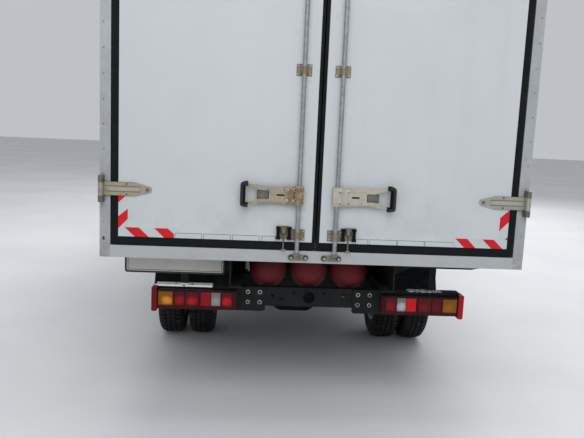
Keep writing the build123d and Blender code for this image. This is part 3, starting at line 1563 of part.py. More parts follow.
def arch_lip(side):
    """The raised lip round a front wheel arch."""
    lip_x = (cab_half_width - nose_wall / 2, cab_half_width + arch_flare_proud)
    lip_y = (front_axle_y - 2 * arch_radius, front_axle_y + 2 * arch_radius)
    with BuildPart() as lip:
        cross_rod(side, arch_radius + arch_flare, *lip_x, front_axle_y, axle_z)
        lug(side, *lip_x, *lip_y, arch_bottom, cab_belt, Mode.INTERSECT)
    return lip.part


# Cab bodies: the whole, its inside, the engine bay and the layer that the panes fill
bay_rear_at = firewall_at + firewall_thickness
cowl_front_at = screen_base_at + firewall_thickness
whole_width = (-cab_half_width, cab_half_width)
cab_outer = cab_solid(0)
cab_inner = cab_solid(cab_wall)
nose_inner = cab_solid(nose_wall)
glass_outer = cab_solid(glass_inset)
glass_inner = cab_solid(glass_inset + glass_thickness)
cab_rooms = [
    clipped(cab_inner, *whole_width, ahead(cab_rear_at), ahead(firewall_at), cab_floor, cab_roof),
    clipped(cab_inner, *whole_width, ahead(firewall_at), ahead(screen_base_at), facia_z[1], cab_roof),
]
bay_bottom = nose_bottom + bay_floor
cowl_bottom = facia_z[1] - firewall_thickness
bay_rooms = [
    clipped(nose_inner, *whole_width, ahead(bay_rear_at), ahead(cowl_front_at), bay_bottom, cowl_bottom),
    clipped(nose_inner, *whole_width, ahead(cowl_front_at), ahead(nose_at), bay_bottom, cab_roof),
]

# Openings of the cab, each one a free solid that cuts the skin and shapes what fills it
door_corners = rectangle(door_rear_at, door_front_at, cab_door_bottom, cab_door_top)
hole_corners = rectangle(
    door_rear_at - door_gap, door_front_at + door_gap, cab_door_bottom - door_gap, cab_door_top + door_gap
)
window_corners = rectangle(
    door_rear_at + window_margin,
    door_front_at - window_margin,
    cab_belt + window_rise,
    cab_door_top - window_margin,
)
quarter_rear_at = door_front_at + quarter_gap
quarter_corners = (
    (quarter_rear_at, cab_belt + quarter_rise),
    (quarter_rear_at + quarter_length, cab_belt + quarter_rise),
    (quarter_rear_at, quarter_top),
)
screen_run = math.hypot(screen_base_at - roof_front_at, cab_roof - cab_belt)
screen_middle = (0, ahead((screen_base_at + roof_front_at) / 2), (cab_roof + cab_belt) / 2)
screen_normal = (0, cab_roof - cab_belt, screen_base_at - roof_front_at)
screen_plane = Plane(origin=screen_middle, x_dir=(1, 0, 0), z_dir=screen_normal)
screen_corners = (
    (-screen_half_width[0], screen_margin[0] - screen_run / 2),
    (screen_half_width[0], screen_margin[0] - screen_run / 2),
    (screen_half_width[1], screen_run / 2 - screen_margin[1]),
    (-screen_half_width[1], screen_run / 2 - screen_margin[1]),
)
rear_window_corners = rectangle(-rear_window_half_width, rear_window_half_width, *rear_window_z)
rear_window_plane = section(cab_rear_at + cab_wall + cutter_reach)
windows = [
    cutter(screen_plane, screen_corners, screen_corner, screen_cut, both=True),
    cutter(rear_window_plane, rear_window_corners, rear_window_corner, cab_wall + 2 * cutter_reach),
]
for side, side_name in sides:
    windows.append(side_window(side, quarter_corners, quarter_corner, quarter_inner_x))

nose_plane = section(nose_at + cutter_reach)
grille_corners = rectangle(-grille_half_width, grille_half_width, *grille_z)
grille_hole = cutter(nose_plane, grille_corners, grille_corner, nose_wall + 2 * cutter_reach)
lamp_holes = []
for side, side_name in sides:
    lamp_corners = rectangle(*sorted((side * headlamp_x[0], side * headlamp_x[1])), *headlamp_z)
    lamp_holes.append(cutter(nose_plane, lamp_corners, headlamp_corner, headlamp_hole + cutter_reach))


def bonnet_cutter(gap):
    """The bonnet's outline in plan, drawn in by a gap, as a free solid down to the top of the nose."""
    bonnet_ends = (ahead(nose_at - bonnet_rear_setback) + gap, ahead(nose_at - bonnet_front_setback) - gap)
    corners = rectangle(gap - bonnet_half_width, bonnet_half_width - gap, *bonnet_ends)
    return cutter(Plane.XY.offset(nose_top), corners, bonnet_corner - gap, cab_roof - nose_top)


# Hinges of the side doors and the bonnet
door_pivot_x = cab_half_width + hinge_proud
door_pivot_y = ahead(door_front_at + door_gap / 2)
bonnet_pivot_at = nose_at - bonnet_rear_setback + hinge_proud
bonnet_pivot_y = ahead(bonnet_pivot_at)
bonnet_fall = (cab_belt - crest_z) / (crest_at - screen_base_at)
bonnet_pivot_z = cab_belt - (bonnet_pivot_at - screen_base_at) * bonnet_fall - bonnet_pivot_drop


def door_knuckle(side, z0, z1, way):
    """A knuckle of a side door's hinge, with its leaf ahead of the pivot or behind it."""
    upright_rod(hinge_radius, side * door_pivot_x, door_pivot_y, z0, z1)
    leaf_y = sorted((door_pivot_y, door_pivot_y + way * hinge_leaf))
    lug(side, cab_half_width - hinge_inset, door_pivot_x + hinge_proud, *leaf_y, z0, z1)


def bonnet_knuckle_with_leaf(side, x0, x1, way):
    """A knuckle of a bonnet hinge, with its leaf ahead of the pivot or behind it."""
    cross_rod(side, bonnet_knuckle, x0, x1, bonnet_pivot_y, bonnet_pivot_z)
    leaf_y = sorted((bonnet_pivot_y, bonnet_pivot_y + way * bonnet_leaf_reach))
    leaf_z = [bonnet_pivot_z + height for height in bonnet_leaf_z]
    lug(side, x0, x1, *leaf_y, *leaf_z)


def outer_knuckles(middle, clearance=0.0):
    """The two ends of a hinge, where its fixed knuckles lie."""
    inner = hinge_half
    outer = 2 * hinge_half + clearance
    return ((middle - outer, middle - inner), (middle + inner, middle + outer))


arch_liners = [arch_liner(side) for side, side_name in sides]
arch_lips = [arch_lip(side) for side, side_name in sides]
door_holes = []
for side, side_name in sides:
    door_inner_x = cab_half_width - cab_door_depth - cutter_reach
    door_holes.append(side_window(side, hole_corners, cab_door_corner + door_gap, door_inner_x))
cab_openings = [*windows, *door_holes, *lamp_holes, grille_hole, bonnet_cutter(0)]
below = cab_bottom - cutter_reach
with BuildPart() as cab_shell:
    add(cab_outer)
    for room in (*cab_rooms, *bay_rooms):
        add(room, mode=Mode.SUBTRACT)
    bay_y = (ahead(bay_rear_at), ahead(nose_at - nose_wall))
    block(-bay_half_width, bay_half_width, *bay_y, below, bay_bottom + cutter_reach, Mode.SUBTRACT)
    underbody_y = (ahead(cab_rear_at) - cutter_reach, ahead(bay_rear_at))
    underbody_x = (-underbody_half_width, underbody_half_width)
    block(*underbody_x, *underbody_y, below, cab_floor - cab_floor_thickness, Mode.SUBTRACT)
    nose_cut_y = (ahead(nose_at - nose_cut_setback), ahead(nose_at) + cutter_reach)
    block(*whole_width, *nose_cut_y, below, nose_bottom, Mode.SUBTRACT)
    add(arch_liners)
    add(arch_lips)
    for side, side_name in sides:
        arch_x = (arch_inner_x, cab_half_width + cutter_reach)
        cross_rod(side, arch_radius, *arch_x, front_axle_y, axle_z, Mode.SUBTRACT)
    for opening in cab_openings:
        add(opening, mode=Mode.SUBTRACT)
    for side, side_name in sides:
        for middle in door_hinge_z:
            pocket_z = (middle - hinge_half, middle + hinge_half)
            upright_rod(hinge_pocket, side * door_pivot_x, door_pivot_y, *pocket_z, Mode.SUBTRACT)
            for knuckle_z in outer_knuckles(middle):
                door_knuckle(side, *knuckle_z, 1)
            pin_z = (middle - hinge_half - running_gap, middle + hinge_half + running_gap)
            upright_rod(hinge_pin, side * door_pivot_x, door_pivot_y, *pin_z)
        pocket_x = (bonnet_hinge_x - hinge_half, bonnet_hinge_x + hinge_half)
        cross_rod(side, bonnet_pocket, *pocket_x, bonnet_pivot_y, bonnet_pivot_z, Mode.SUBTRACT)
        for knuckle_x in outer_knuckles(bonnet_hinge_x):
            bonnet_knuckle_with_leaf(side, *knuckle_x, -1)
        pin_ends = (pocket_x[0] - running_gap, pocket_x[1] + running_gap)
        cross_rod(side, bonnet_pin, *pin_ends, bonnet_pivot_y, bonnet_pivot_z)
write(cab_shell.part, "cab_shell")

# Panes, headlamps and grille in their openings
panes = [between(glass_outer, glass_inner, window) for window in windows]
with BuildPart() as cab_glass:
    add(panes)
write(cab_glass.part, "cab_glass")

lamp_outer = cab_solid(headlamp_inset)
lamp_bodies = [between(lamp_outer, cab_inner, hole) for hole in lamp_holes]
with BuildPart() as headlamps:
    add(lamp_bodies)
write(headlamps.part, "headlamps")

with BuildPart() as grille:
    grille_middle_z = sum(grille_z) / 2
    grille_height = grille_z[1] - grille_z[0] - 2 * fit_gap
    inside_width = 2 * (grille_half_width - fit_gap - grille_frame)
    inside_height = grille_height - 2 * grille_frame
    with BuildSketch(section(nose_at - nose_wall)) as frame:
        with Locations((0, grille_middle_z)):
            RectangleRounded(2 * (grille_half_width - fit_gap), grille_height, grille_corner)
    extrude(amount=-(nose_wall - grille_inset))
    with BuildSketch(section(nose_at - nose_wall + slat_thickness)) as frame_inside:
        with Locations((0, grille_middle_z)):
            RectangleRounded(inside_width, inside_height, grille_corner - grille_frame)
    extrude(amount=-nose_wall, mode=Mode.SUBTRACT)
    for slat in range(slat_count):
        slat_z = grille_middle_z + (slat - (slat_count - 1) / 2) * slat_pitch
        slat_y = ahead(nose_at - nose_wall + grille_inset + slat_width / 2)
        with Locations(Location((0, slat_y, slat_z), (slat_tilt, 0, 0))):
            Box(inside_width + fit_gap, slat_width, slat_thickness)
write(grille.part, "grille")

bonnet_shape = bonnet_cutter(bonnet_gap)
bonnet_skin = between(cab_outer, nose_inner, bonnet_shape)
with BuildPart() as bonnet:
    add(bonnet_skin)
    for side, side_name in sides:
        for pocket_x in outer_knuckles(bonnet_hinge_x, bonnet_gap):
            cross_rod(side, bonnet_pocket, *pocket_x, bonnet_pivot_y, bonnet_pivot_z, Mode.SUBTRACT)
        knuckle_ends = (bonnet_hinge_x - hinge_half + fit_gap, bonnet_hinge_x + hinge_half - fit_gap)
        bonnet_knuckle_with_leaf(side, *knuckle_ends, 1)
        bore_x = (knuckle_ends[0] - running_gap, knuckle_ends[1] + running_gap)
        cross_rod(side, bonnet_pin + pin_gap, *bore_x, bonnet_pivot_y, bonnet_pivot_z, Mode.SUBTRACT)
write(bonnet.part, "bonnet")

# Side doors with their glass, and the mirrors on the doors' front pillars
side_slope = (cab_half_width - roof_half_width) / (cab_roof - cab_belt)
handle_bar_at = door_rear_at + window_margin + handle_bar_length / 2
handle_bar_z = cab_belt - handle_bar_rise
mirror_y = ahead(door_front_at - mirror_setback)
door_cutters = {}
window_cutters = {}
door_skins = {}
door_panes = {}
for side, side_name in sides:
    door_inner_x = cab_half_width - cab_door_depth
    door_cutters[side] = side_window(side, door_corners, cab_door_corner, door_inner_x)
    window_cutters[side] = side_window(side, window_corners, window_corner, door_inner_x)
    door_skins[side] = between(cab_outer, cab_inner, door_cutters[side])
    door_panes[side] = between(glass_outer, glass_inner, window_cutters[side])

for side, side_name in sides:
    with BuildPart() as cab_door:
        add(door_skins[side])
        add(window_cutters[side], mode=Mode.SUBTRACT)
        for middle in door_hinge_z:
            for pocket_z in outer_knuckles(middle, running_gap):
                upright_rod(hinge_pocket, side * door_pivot_x, door_pivot_y, *pocket_z, Mode.SUBTRACT)
            knuckle_z = (middle - hinge_half + fit_gap, middle + hinge_half - fit_gap)
            door_knuckle(side, *knuckle_z, -1)
            bore_z = (knuckle_z[0] - running_gap, knuckle_z[1] + running_gap)
            upright_rod(hinge_pin + pin_gap, side * door_pivot_x, door_pivot_y, *bore_z, Mode.SUBTRACT)
        with BuildSketch(Plane.YZ.offset(side * cab_half_width)) as handle_bar:
            with Locations((ahead(handle_bar_at), handle_bar_z)):
                SlotOverall(handle_bar_length, handle_bar_height)
        extrude(amount=side * handle_bar_proud)
    write(cab_door.part, f"cab_door_{side_name}")

    with BuildPart() as door_glass:
        add(door_panes[side])
    write(door_glass.part, f"door_glass_{side_name}")

    with BuildPart() as mirror:
        with BuildSketch(Plane.XZ.offset(mirror_half - mirror_y)) as mirror_case:
            with Locations((side * sum(mirror_x) / 2, sum(mirror_z) / 2)):
                RectangleRounded(mirror_x[1] - mirror_x[0], mirror_z[1] - mirror_z[0], mirror_corner)
        extrude(amount=-2 * mirror_half)
        fillet(mirror.faces().sort_by(Axis.Y)[-1].edges(), mirror_edge)
        for arm_z in mirror_arm_z:
            skin_x = cab_half_width - (arm_z - cab_belt) * side_slope
            arm_x = (skin_x - mirror_arm_foot, mirror_x[0] + mirror_arm_radius)
            cross_rod(side, mirror_arm_radius, *arm_x, mirror_y, arm_z)
        add(cab_door.part, mode=Mode.SUBTRACT)
    write(mirror.part, f"mirror_{side_name}")

# Front bumper: a moulded bar round the nose, on two arms from the rails
bumper_rear_y = ahead(nose_at - bumper_rear_setback)
bumper_half = (
    (cab_half_width, bumper_rear_y - 2 * bumper_wall),
    (cab_half_width, ahead(nose_at - bumper_side_setback)),
    (bumper_corner_x[0], ahead(nose_at - bumper_corner_setback)),
    (bumper_corner_x[1], ahead(front_reach)),
)
bumper_plan = (*[(-x, y) for x, y in bumper_half], *reversed(bumper_half))
half_radii = (0, bumper_radii[0], bumper_radii[1], bumper_radii[1])
bumper_plan_radii = (*half_radii, *reversed(half_radii))
bumper_height = bumper_z[1] - bumper_z[0]
with BuildPart() as front_bumper:
    extrude(profile(Plane.XY.offset(bumper_z[0]), bumper_plan, bumper_plan_radii), amount=bumper_height)
    chamfer(front_bumper.faces().sort_by(Axis.Z)[-1].edges(), bumper_chamfer)
    chamfer(front_bumper.faces().sort_by(Axis.Z)[0].edges(), bumper_chamfer)
    inside = outline_face(Plane.XY.offset(bumper_z[0]), bumper_plan, bumper_plan_radii, bumper_wall)
    extrude(inside, amount=bumper_height, mode=Mode.SUBTRACT)
    behind_y = (bumper_rear_y - 3 * bumper_wall, bumper_rear_y)
    block(*whole_width, *behind_y, *bumper_z, Mode.SUBTRACT)
    with BuildSketch(section(front_reach)) as intake:
        with Locations((0, sum(intake_z) / 2)):
            RectangleRounded(2 * intake_half_width, intake_z[1] - intake_z[0], intake_corner)
    extrude(amount=bumper_wall, mode=Mode.SUBTRACT)
    for side, side_name in sides:
        arm_y = (ahead(rail_front_at), ahead(front_reach) - bumper_arm_overlap)
        lug(side, rail_inner_x, rail_outer_x, *arm_y, *bumper_arm_z)
write(front_bumper.part, "front_bumper")

# Seats: (middle x, half width, head restraints beside the middle), each on its own base
seat_table = (
    (-480.0, 250.0, (0.0,)),
    (370.0, 480.0, (-230.0, 230.0)),
)
cushion_rear_at = cab_rear_at + seat_rear_at
cushion_outline = rectangle(cushion_rear_at, cushion_rear_at + seat_length, seat_bottom, seat_top)
with BuildPart() as seats:
    for seat_x, seat_half, head_places in seat_table:
        side_prism(cushion_outline, seat_x - seat_half, seat_x + seat_half, seat_corner)
        base_x = (seat_x - seat_half + seat_base_inset, seat_x + seat_half - seat_base_inset)
        base_y = (
            ahead(cushion_rear_at + seat_base_ends[0]),
            ahead(cushion_rear_at + seat_length - seat_base_ends[1]),
        )
        block(*base_x, *base_y, cab_floor, seat_bottom)
        leaning = Location((seat_x, ahead(cab_rear_at + seat_back_ahead), seat_back_z), (back_lean, 0, 0))
        back_plane = Plane(leaning * Location((0, 0, 0), (90, 0, 0)))
        with BuildSketch(back_plane) as seat_back:
            RectangleRounded(2 * seat_half, seat_back_height, seat_corner)
        extrude(amount=seat_back_depth / 2, both=True)
        with BuildSketch(back_plane) as head_restraints:
            with Locations(*[(head_place, headrest_rise) for head_place in head_places]):
                RectangleRounded(*headrest_size, seat_corner)
        extrude(amount=headrest_depth / 2, both=True)
write(seats.part, "seats")

# Facia with its steering wheel on a column
facia_outline = rectangle(firewall_at - facia_depth, firewall_at, *facia_z)
with BuildPart() as dashboard:
    side_prism(facia_outline, -facia_half_width, facia_half_width, (facia_radius, 0, 0, facia_radius))
    wheel_place = Location((wheel_x, ahead(firewall_at - wheel_setback), wheel_z), (wheel_tilt, 0, 0))
    with Locations(wheel_place):
        Torus(wheel_ring, wheel_rim_radius)
        Cylinder(*wheel_boss)
        Box(*wheel_spoke)
    column_ends = [(wheel_x, ahead(firewall_at - setback), z) for setback, z in (column_start, column_end)]
    rod(column_radius, *column_ends)
write(dashboard.part, "dashboard")
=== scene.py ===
"""Dresses the refrigerated truck: its stage and camera, the finish of every piece, and the tape, plates,
bolts, tyres, cushions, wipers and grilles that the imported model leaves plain.

Lengths are in metres in the model's own frame: +Y forward, +X the right-hand side, +Z up, with the origin
on the ground under the middle of the truck.
"""

import math

import bpy
from bpy.props import FloatProperty, FloatVectorProperty, IntProperty, PointerProperty
from mathutils import Matrix, Vector


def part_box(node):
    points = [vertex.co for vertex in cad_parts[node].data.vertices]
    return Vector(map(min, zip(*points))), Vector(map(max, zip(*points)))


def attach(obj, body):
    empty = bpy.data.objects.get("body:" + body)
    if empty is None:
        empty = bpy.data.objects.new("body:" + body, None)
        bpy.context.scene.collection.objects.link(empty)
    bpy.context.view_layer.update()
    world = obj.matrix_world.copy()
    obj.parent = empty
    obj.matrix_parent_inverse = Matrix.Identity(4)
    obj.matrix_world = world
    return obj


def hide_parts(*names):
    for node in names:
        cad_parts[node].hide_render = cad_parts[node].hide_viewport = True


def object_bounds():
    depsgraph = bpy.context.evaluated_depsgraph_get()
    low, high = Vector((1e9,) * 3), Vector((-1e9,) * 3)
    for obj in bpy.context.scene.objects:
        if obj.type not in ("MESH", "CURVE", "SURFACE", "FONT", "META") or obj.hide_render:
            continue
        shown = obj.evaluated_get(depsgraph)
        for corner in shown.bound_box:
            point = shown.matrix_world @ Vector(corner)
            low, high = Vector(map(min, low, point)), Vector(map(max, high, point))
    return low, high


bl_info = {
    "name": "Refrigerated truck",
    "version": (1, 0, 0),
    "blender": (4, 5, 0),
    "location": "View3D > Sidebar > Truck",
    "description": "Finishes and small pieces of a light refrigerated truck",
    "category": "Object",
}

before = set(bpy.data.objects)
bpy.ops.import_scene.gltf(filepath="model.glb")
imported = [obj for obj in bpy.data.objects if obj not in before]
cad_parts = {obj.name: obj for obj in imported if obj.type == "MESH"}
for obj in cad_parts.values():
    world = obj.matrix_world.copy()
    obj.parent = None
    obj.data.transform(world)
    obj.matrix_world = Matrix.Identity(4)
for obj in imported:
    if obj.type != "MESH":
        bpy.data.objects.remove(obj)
cad_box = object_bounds()

SIDES = ((-1, "left"), (1, "right"))
REARWARD = (0, -1, 0)
UPWARD = (0, 0, 1)
REAR_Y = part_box("rear_frame")[0][1]

# Places on the rear doors: hinges, guides of the lock bars, handles, the bars and the keepers on the sill
HINGE_ZS = (1.238, 2.480)
GUIDE_ZS = (1.036, 1.858, 2.692)
HANDLE_Z = 1.239
BAR_X = 0.096
KEEPER_X = 0.085
KEEPER_Z = 0.917
KEEPER_BOLT_REACH = 0.037

# Middle of the number plate
PLATE_X, PLATE_Z = -0.736, 0.826


# Shader maths


class Field:
    """A number that varies over a surface. Arithmetic on fields adds Math nodes to their recipe."""

    def __init__(self, recipe, socket):
        self.recipe = recipe
        self.socket = socket

    def math(self, operation, *values):
        node = self.recipe.place("ShaderNodeMath", {"operation": operation}, dict(enumerate(values)))
        return Field(self.recipe, node.outputs[0])

    def __add__(self, other):
        return self.math("ADD", self, other)

    def __sub__(self, other):
        return self.math("SUBTRACT", self, other)

    def __rsub__(self, other):
        return self.math("SUBTRACT", other, self)

    def __mul__(self, other):
        return self.math("MULTIPLY", self, other)

    def __lt__(self, other):
        return self.math("LESS_THAN", self, other)

    def __abs__(self):
        return self.math("ABSOLUTE", self)

    __radd__ = __add__
    __rmul__ = __mul__

    def most(self, other):
        return self.math("MAXIMUM", self, other)

    def least(self, other):
        return self.math("MINIMUM", self, other)

    def ease(self, low, high):
        """0 below low, 1 above high, smooth between; low may be the larger of the two."""
        settings = {"interpolation_type": "SMOOTHSTEP"}
        inputs = {"Value": self, "From Min": low, "From Max": high}
        return Field(self.recipe, self.recipe.place("ShaderNodeMapRange", settings, inputs).outputs["Result"])

    def between(self, low, high, edge=0.0005):
        """1 inside a band, 0 outside it."""
        return self.ease(low - edge, low + edge) * self.ease(high + edge, high - edge)


class Recipe:
    """A procedural material on one Principled shader, read from Object coordinates, built up in layers."""

    def __init__(self, name, tint):
        self.material = bpy.data.materials.new(name)
        self.material.use_nodes = True
        self.tree = self.material.node_tree
        self.shader = self.tree.nodes["Principled BSDF"]
        self.spot = self.place("ShaderNodeTexCoord").outputs["Object"]
        parts = self.place("ShaderNodeSeparateXYZ", {}, {0: self.spot})
        self.x, self.y, self.z = (Field(self, part) for part in parts.outputs)
        self.colour = tint

    def place(self, kind, settings=None, inputs=None):
        """Adds a node, makes its settings first and then fills or links its sockets."""
        node = self.tree.nodes.new(kind)
        for key, value in (settings or {}).items():
            setattr(node, key, value)
        for key, value in (inputs or {}).items():
            self.feed(node.inputs[key], value)
        return node

    def feed(self, socket, value):
        if isinstance(value, Field):
            value = value.socket
        if isinstance(value, bpy.types.NodeSocket):
            self.tree.links.new(value, socket)
        elif hasattr(value, "__len__") and len(value) == 3 and len(socket.default_value) == 4:
            socket.default_value = (*value, 1.0)
        else:
            socket.default_value = value

    def noise(self, scale, detail=3.0, roughness=0.55, stretch=None):
        """Cloudy variation about 0.5; stretch scales the pattern along each axis."""
        spot = self.spot
        if stretch:
            spot = self.place("ShaderNodeMapping", {}, {"Vector": spot, "Scale": stretch}).outputs[0]
        inputs = {"Vector": spot, "Scale": scale, "Detail": detail, "Roughness": roughness}
        return Field(self, self.place("ShaderNodeTexNoise", {}, inputs).outputs[0])

    def cells(self, scale, feature="F1"):
        """Voronoi cells, for spangle, grain and honeycomb."""
        node = self.place("ShaderNodeTexVoronoi", {"feature": feature}, {"Vector": self.spot, "Scale": scale})
        return Field(self, node.outputs["Distance"])

    def waves(self, axis, scale):
        """Ridges across an axis, for ribs, flutes and threads."""
        inputs = {"Vector": self.spot, "Scale": scale}
        node = self.place("ShaderNodeTexWave", {"bands_direction": axis}, inputs)
        return Field(self, node.outputs["Fac"])

    def mix(self, amount, first, second):
        """A colour between two colours."""
        node = self.place("ShaderNodeMix", {"data_type": "RGBA"}, {"Factor": amount})
        self.feed(node.inputs[6], first)
        self.feed(node.inputs[7], second)
        return node.outputs[2]

    def lay(self, amount, tint):
        """Covers the colour so far with a tint where the amount says so."""
        self.colour = self.mix(amount, self.colour, tint)

    def bump(self, height, distance=0.001, strength=1.0):
        inputs = {"Height": height, "Distance": distance, "Strength": strength}
        self.feed(self.shader.inputs["Normal"], self.place("ShaderNodeBump", {}, inputs).outputs[0])

    def finish(self, roughness, metallic=0.0, coat=0.0, specular=0.5):
        values = {
            "Base Color": self.colour,
            "Roughness": roughness,
            "Metallic": metallic,
            "Coat Weight": coat,
            "Specular IOR Level": specular,
        }
        for key, value in values.items():
            self.feed(self.shader.inputs[key], value)
        return self.material


def shade(tint, factor):
    """A darker or lighter tint of the same hue."""
    return tuple(c * factor for c in tint)


# Modelling helpers


def clear_selection():
    """Leaves edit mode and deselects every object."""
    if bpy.context.object and bpy.context.object.mode != "OBJECT":
        close_edit()
    bpy.ops.object.select_all(action="DESELECT")


def take(piece):
    """Makes one piece the only selected and active object."""
    clear_selection()
    piece.select_set(True)
    bpy.context.view_layer.objects.active = piece


def discard(piece):
    take(piece)
    bpy.ops.object.delete()


def rename(piece, name):
    piece.name = name
    piece.data.name = name
    return piece


def settle(piece, name):
    """Names a piece and applies its place, so that its object sits unturned at the origin."""
    take(piece)
    bpy.ops.object.transform_apply(location=True, rotation=True, scale=True)
    return rename(piece, name)


def open_edit():
    """Opens the active piece in edit mode with everything selected."""
    bpy.ops.object.mode_set(mode="EDIT")
    bpy.ops.mesh.select_all(action="SELECT")


def close_edit():
    bpy.ops.object.mode_set(mode="OBJECT")


def pick(piece, kind, chosen):
    """Selects, in edit mode, the elements of one kind for which chosen(element) is true."""
    take(piece)
    bpy.ops.object.mode_set(mode="EDIT")
    bpy.ops.mesh.select_mode(type=kind)
    bpy.ops.mesh.select_all(action="DESELECT")
    close_edit()
    for element in piece.data.polygons if kind == "FACE" else piece.data.edges:
        element.select = bool(chosen(element))
    bpy.ops.object.mode_set(mode="EDIT")


def pick_facing(piece, direction):
    """Selects, in edit mode, the faces that look along a direction."""
    pick(piece, "FACE", lambda face: face.normal.dot(Vector(direction)) > 0.9)


def press(piece, chosen, *steps):
    """Insets the faces for which chosen(face) is true, one (thickness, depth) step after another."""
    pick(piece, "FACE", chosen)
    for thickness, depth in steps:
        bpy.ops.mesh.inset(thickness=thickness, depth=depth)
    close_edit()
    return piece


def inset(piece, direction, *steps):
    """Insets the faces that look along a direction."""
    return press(piece, lambda face: face.normal.dot(Vector(direction)) > 0.9, *steps)


def bevel(offset, segments):
    """Rounds the selected edges and closes the piece."""
    bpy.ops.mesh.bevel(offset=offset, segments=segments, affect="EDGES")
    close_edit()


def block(name, xs, ys, zs, rounding=0.0, segments=2, side=1):
    """A box with rounded edges, given by its extent along each axis; side -1 mirrors it to the left."""
    extents = [(side * x for x in xs), ys, zs]
    ends = [tuple(extent) for extent in extents]
    centre = [(a + b) / 2 for a, b in ends]
    size = [abs(b - a) for a, b in ends]
    clear_selection()
    bpy.ops.mesh.primitive_cube_add(size=1, location=centre, scale=size)
    piece = settle(bpy.context.object, name)
    if rounding:
        open_edit()
        bevel(rounding, segments)
    return piece


def disc(name, centre, direction, radius, depth, vertices=24, rounding=0.0, segments=2):
    """A short cylinder whose base is at centre, with its rims rounded."""
    along = Vector(direction).normalized()
    clear_selection()
    bpy.ops.mesh.primitive_cylinder_add(
        vertices=vertices,
        radius=radius,
        depth=depth,
        location=Vector(centre) + along * depth / 2,
        rotation=along.to_track_quat("Z", "Y").to_euler(),
    )
    piece = settle(bpy.context.object, name)
    if rounding:
        pick(piece, "FACE", lambda face: abs(face.normal.dot(along)) > 0.9)
        bevel(rounding, segments)
    return piece


def tube(name, points, radius, vertices=10, cyclic=False):
    """A round bar along a run of points, made a mesh."""
    curve = bpy.data.curves.new(name, "CURVE")
    curve.dimensions = "3D"
    curve.bevel_depth = radius
    curve.bevel_resolution = vertices // 4
    curve.use_fill_caps = True
    spline = curve.splines.new("POLY")
    spline.points.add(len(points) - 1)
    for point, place in zip(spline.points, points):
        point.co = (*place, 1.0)
    spline.use_cyclic_u = cyclic
    piece = bpy.data.objects.new(name, curve)
    bpy.context.collection.objects.link(piece)
    take(piece)
    bpy.ops.object.convert(target="MESH")
    return bpy.context.object


def raw_mesh(name, corners, edges, faces):
    """A new piece from its corners, opened in edit mode with everything selected."""
    mesh = bpy.data.meshes.new(name)
    mesh.from_pydata(corners, edges, faces)
    piece = bpy.data.objects.new(name, mesh)
    bpy.context.collection.objects.link(piece)
    take(piece)
    open_edit()
    return piece


def face_outwards():
    """Turns every face of the open piece outwards and closes it."""
    bpy.ops.mesh.select_all(action="SELECT")
    bpy.ops.mesh.normals_make_consistent(inside=False)
    close_edit()


def copy_of(piece, name, matrix):
    """A copy of a finished piece with its own mesh, moved by a matrix."""
    twin = piece.copy()
    twin.data = piece.data.copy()
    bpy.context.collection.objects.link(twin)
    twin.data.transform(matrix)
    return rename(twin, name)


def turned(point, outward):
    """The matrix that stands a piece modelled along +Z on a point, facing outward."""
    turn = Vector(UPWARD).rotation_difference(Vector(outward)).to_matrix().to_4x4()
    return Matrix.Translation(point) @ turn


def join(name, pieces):
    """Joins pieces into the first and names the result."""
    take(pieces[0])
    for piece in pieces[1:]:
        piece.select_set(True)
    bpy.ops.object.join()
    return rename(bpy.context.object, name)


def scatter(name, pattern, places):
    """Copies a small piece modelled along +Z to (point, outward direction) places, joined as one piece."""
    copies = [copy_of(pattern, f"{name}_{number}", turned(*place)) for number, place in enumerate(places)]
    discard(pattern)
    return join(name, copies)


def smooth(piece, angle=35):
    take(piece)
    bpy.ops.object.shade_smooth_by_angle(angle=math.radians(angle))
    return piece


def around(count, shift=0.0):
    """Angles spread evenly round a full turn."""
    return [math.tau * (number + shift) / count for number in range(count)]


def give(piece, material):
    piece.data.materials.clear()
    piece.data.materials.append(material)


def dress(piece, material, body):
    """Gives a piece its finish and the body it rides on."""
    give(piece, material)
    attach(piece, body)
    return piece


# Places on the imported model


def spot_on(node, origin, direction):
    """Where a line from origin first meets a node, and the direction in which that surface faces."""
    hit, place, normal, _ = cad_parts[node].ray_cast(Vector(origin), Vector(direction))
    if not hit:
        raise RuntimeError(f"nothing of {node} lies ahead of {tuple(origin)}")
    return place, normal


def from_behind(node, x, z):
    """The rearmost point of a node at a place across and up."""
    return spot_on(node, (x, cad_box[0][1] - 0.1, z), (0, 1, 0))[0]


def from_ahead(node, x, z):
    """The foremost point of a node at a place across and up, with its outward direction."""
    return spot_on(node, (x, cad_box[1][1] + 0.1, z), REARWARD)


def from_outside(node, side, y, z):
    """The outermost point of a node on one side, with its outward direction."""
    return spot_on(node, (side * 1.4, y, z), (-side, 0, 0))


def middle(node):
    low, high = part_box(node)
    return Vector([(a + b) / 2 for a, b in zip(low, high)])


# Sizes and colours that a user would change


def length(name, description, default):
    return FloatProperty(name=name, description=description, default=default, unit="LENGTH")


def tone(name, description, default):
    return FloatVectorProperty(name=name, description=description, default=default, subtype="COLOR")


class TruckSizes(bpy.types.PropertyGroup):
    """Sizes of the small pieces."""

    tape_width: length("Tape width", "Width of the marking tape", 0.047)
    narrow_tape: length("Narrow tape", "Height of the pale segments", 0.024)
    tape_edge: length("Tape edge", "Width of the dirty line round them", 0.0024)
    tape_thickness: length("Tape thickness", "Thickness of the tape", 0.0006)
    plate_width: length("Plate width", "Width of the blank number plate", 0.52)
    plate_height: length("Plate height", "Height of the blank plate", 0.112)
    bolt_radius: length("Bolt size", "Half width of a bolt head", 0.008)
    rivet_radius: length("Rivet size", "Radius of a rivet head", 0.004)
    tread_pitches: IntProperty(name="Tread pitches", description="Tread blocks round a tyre", default=60)


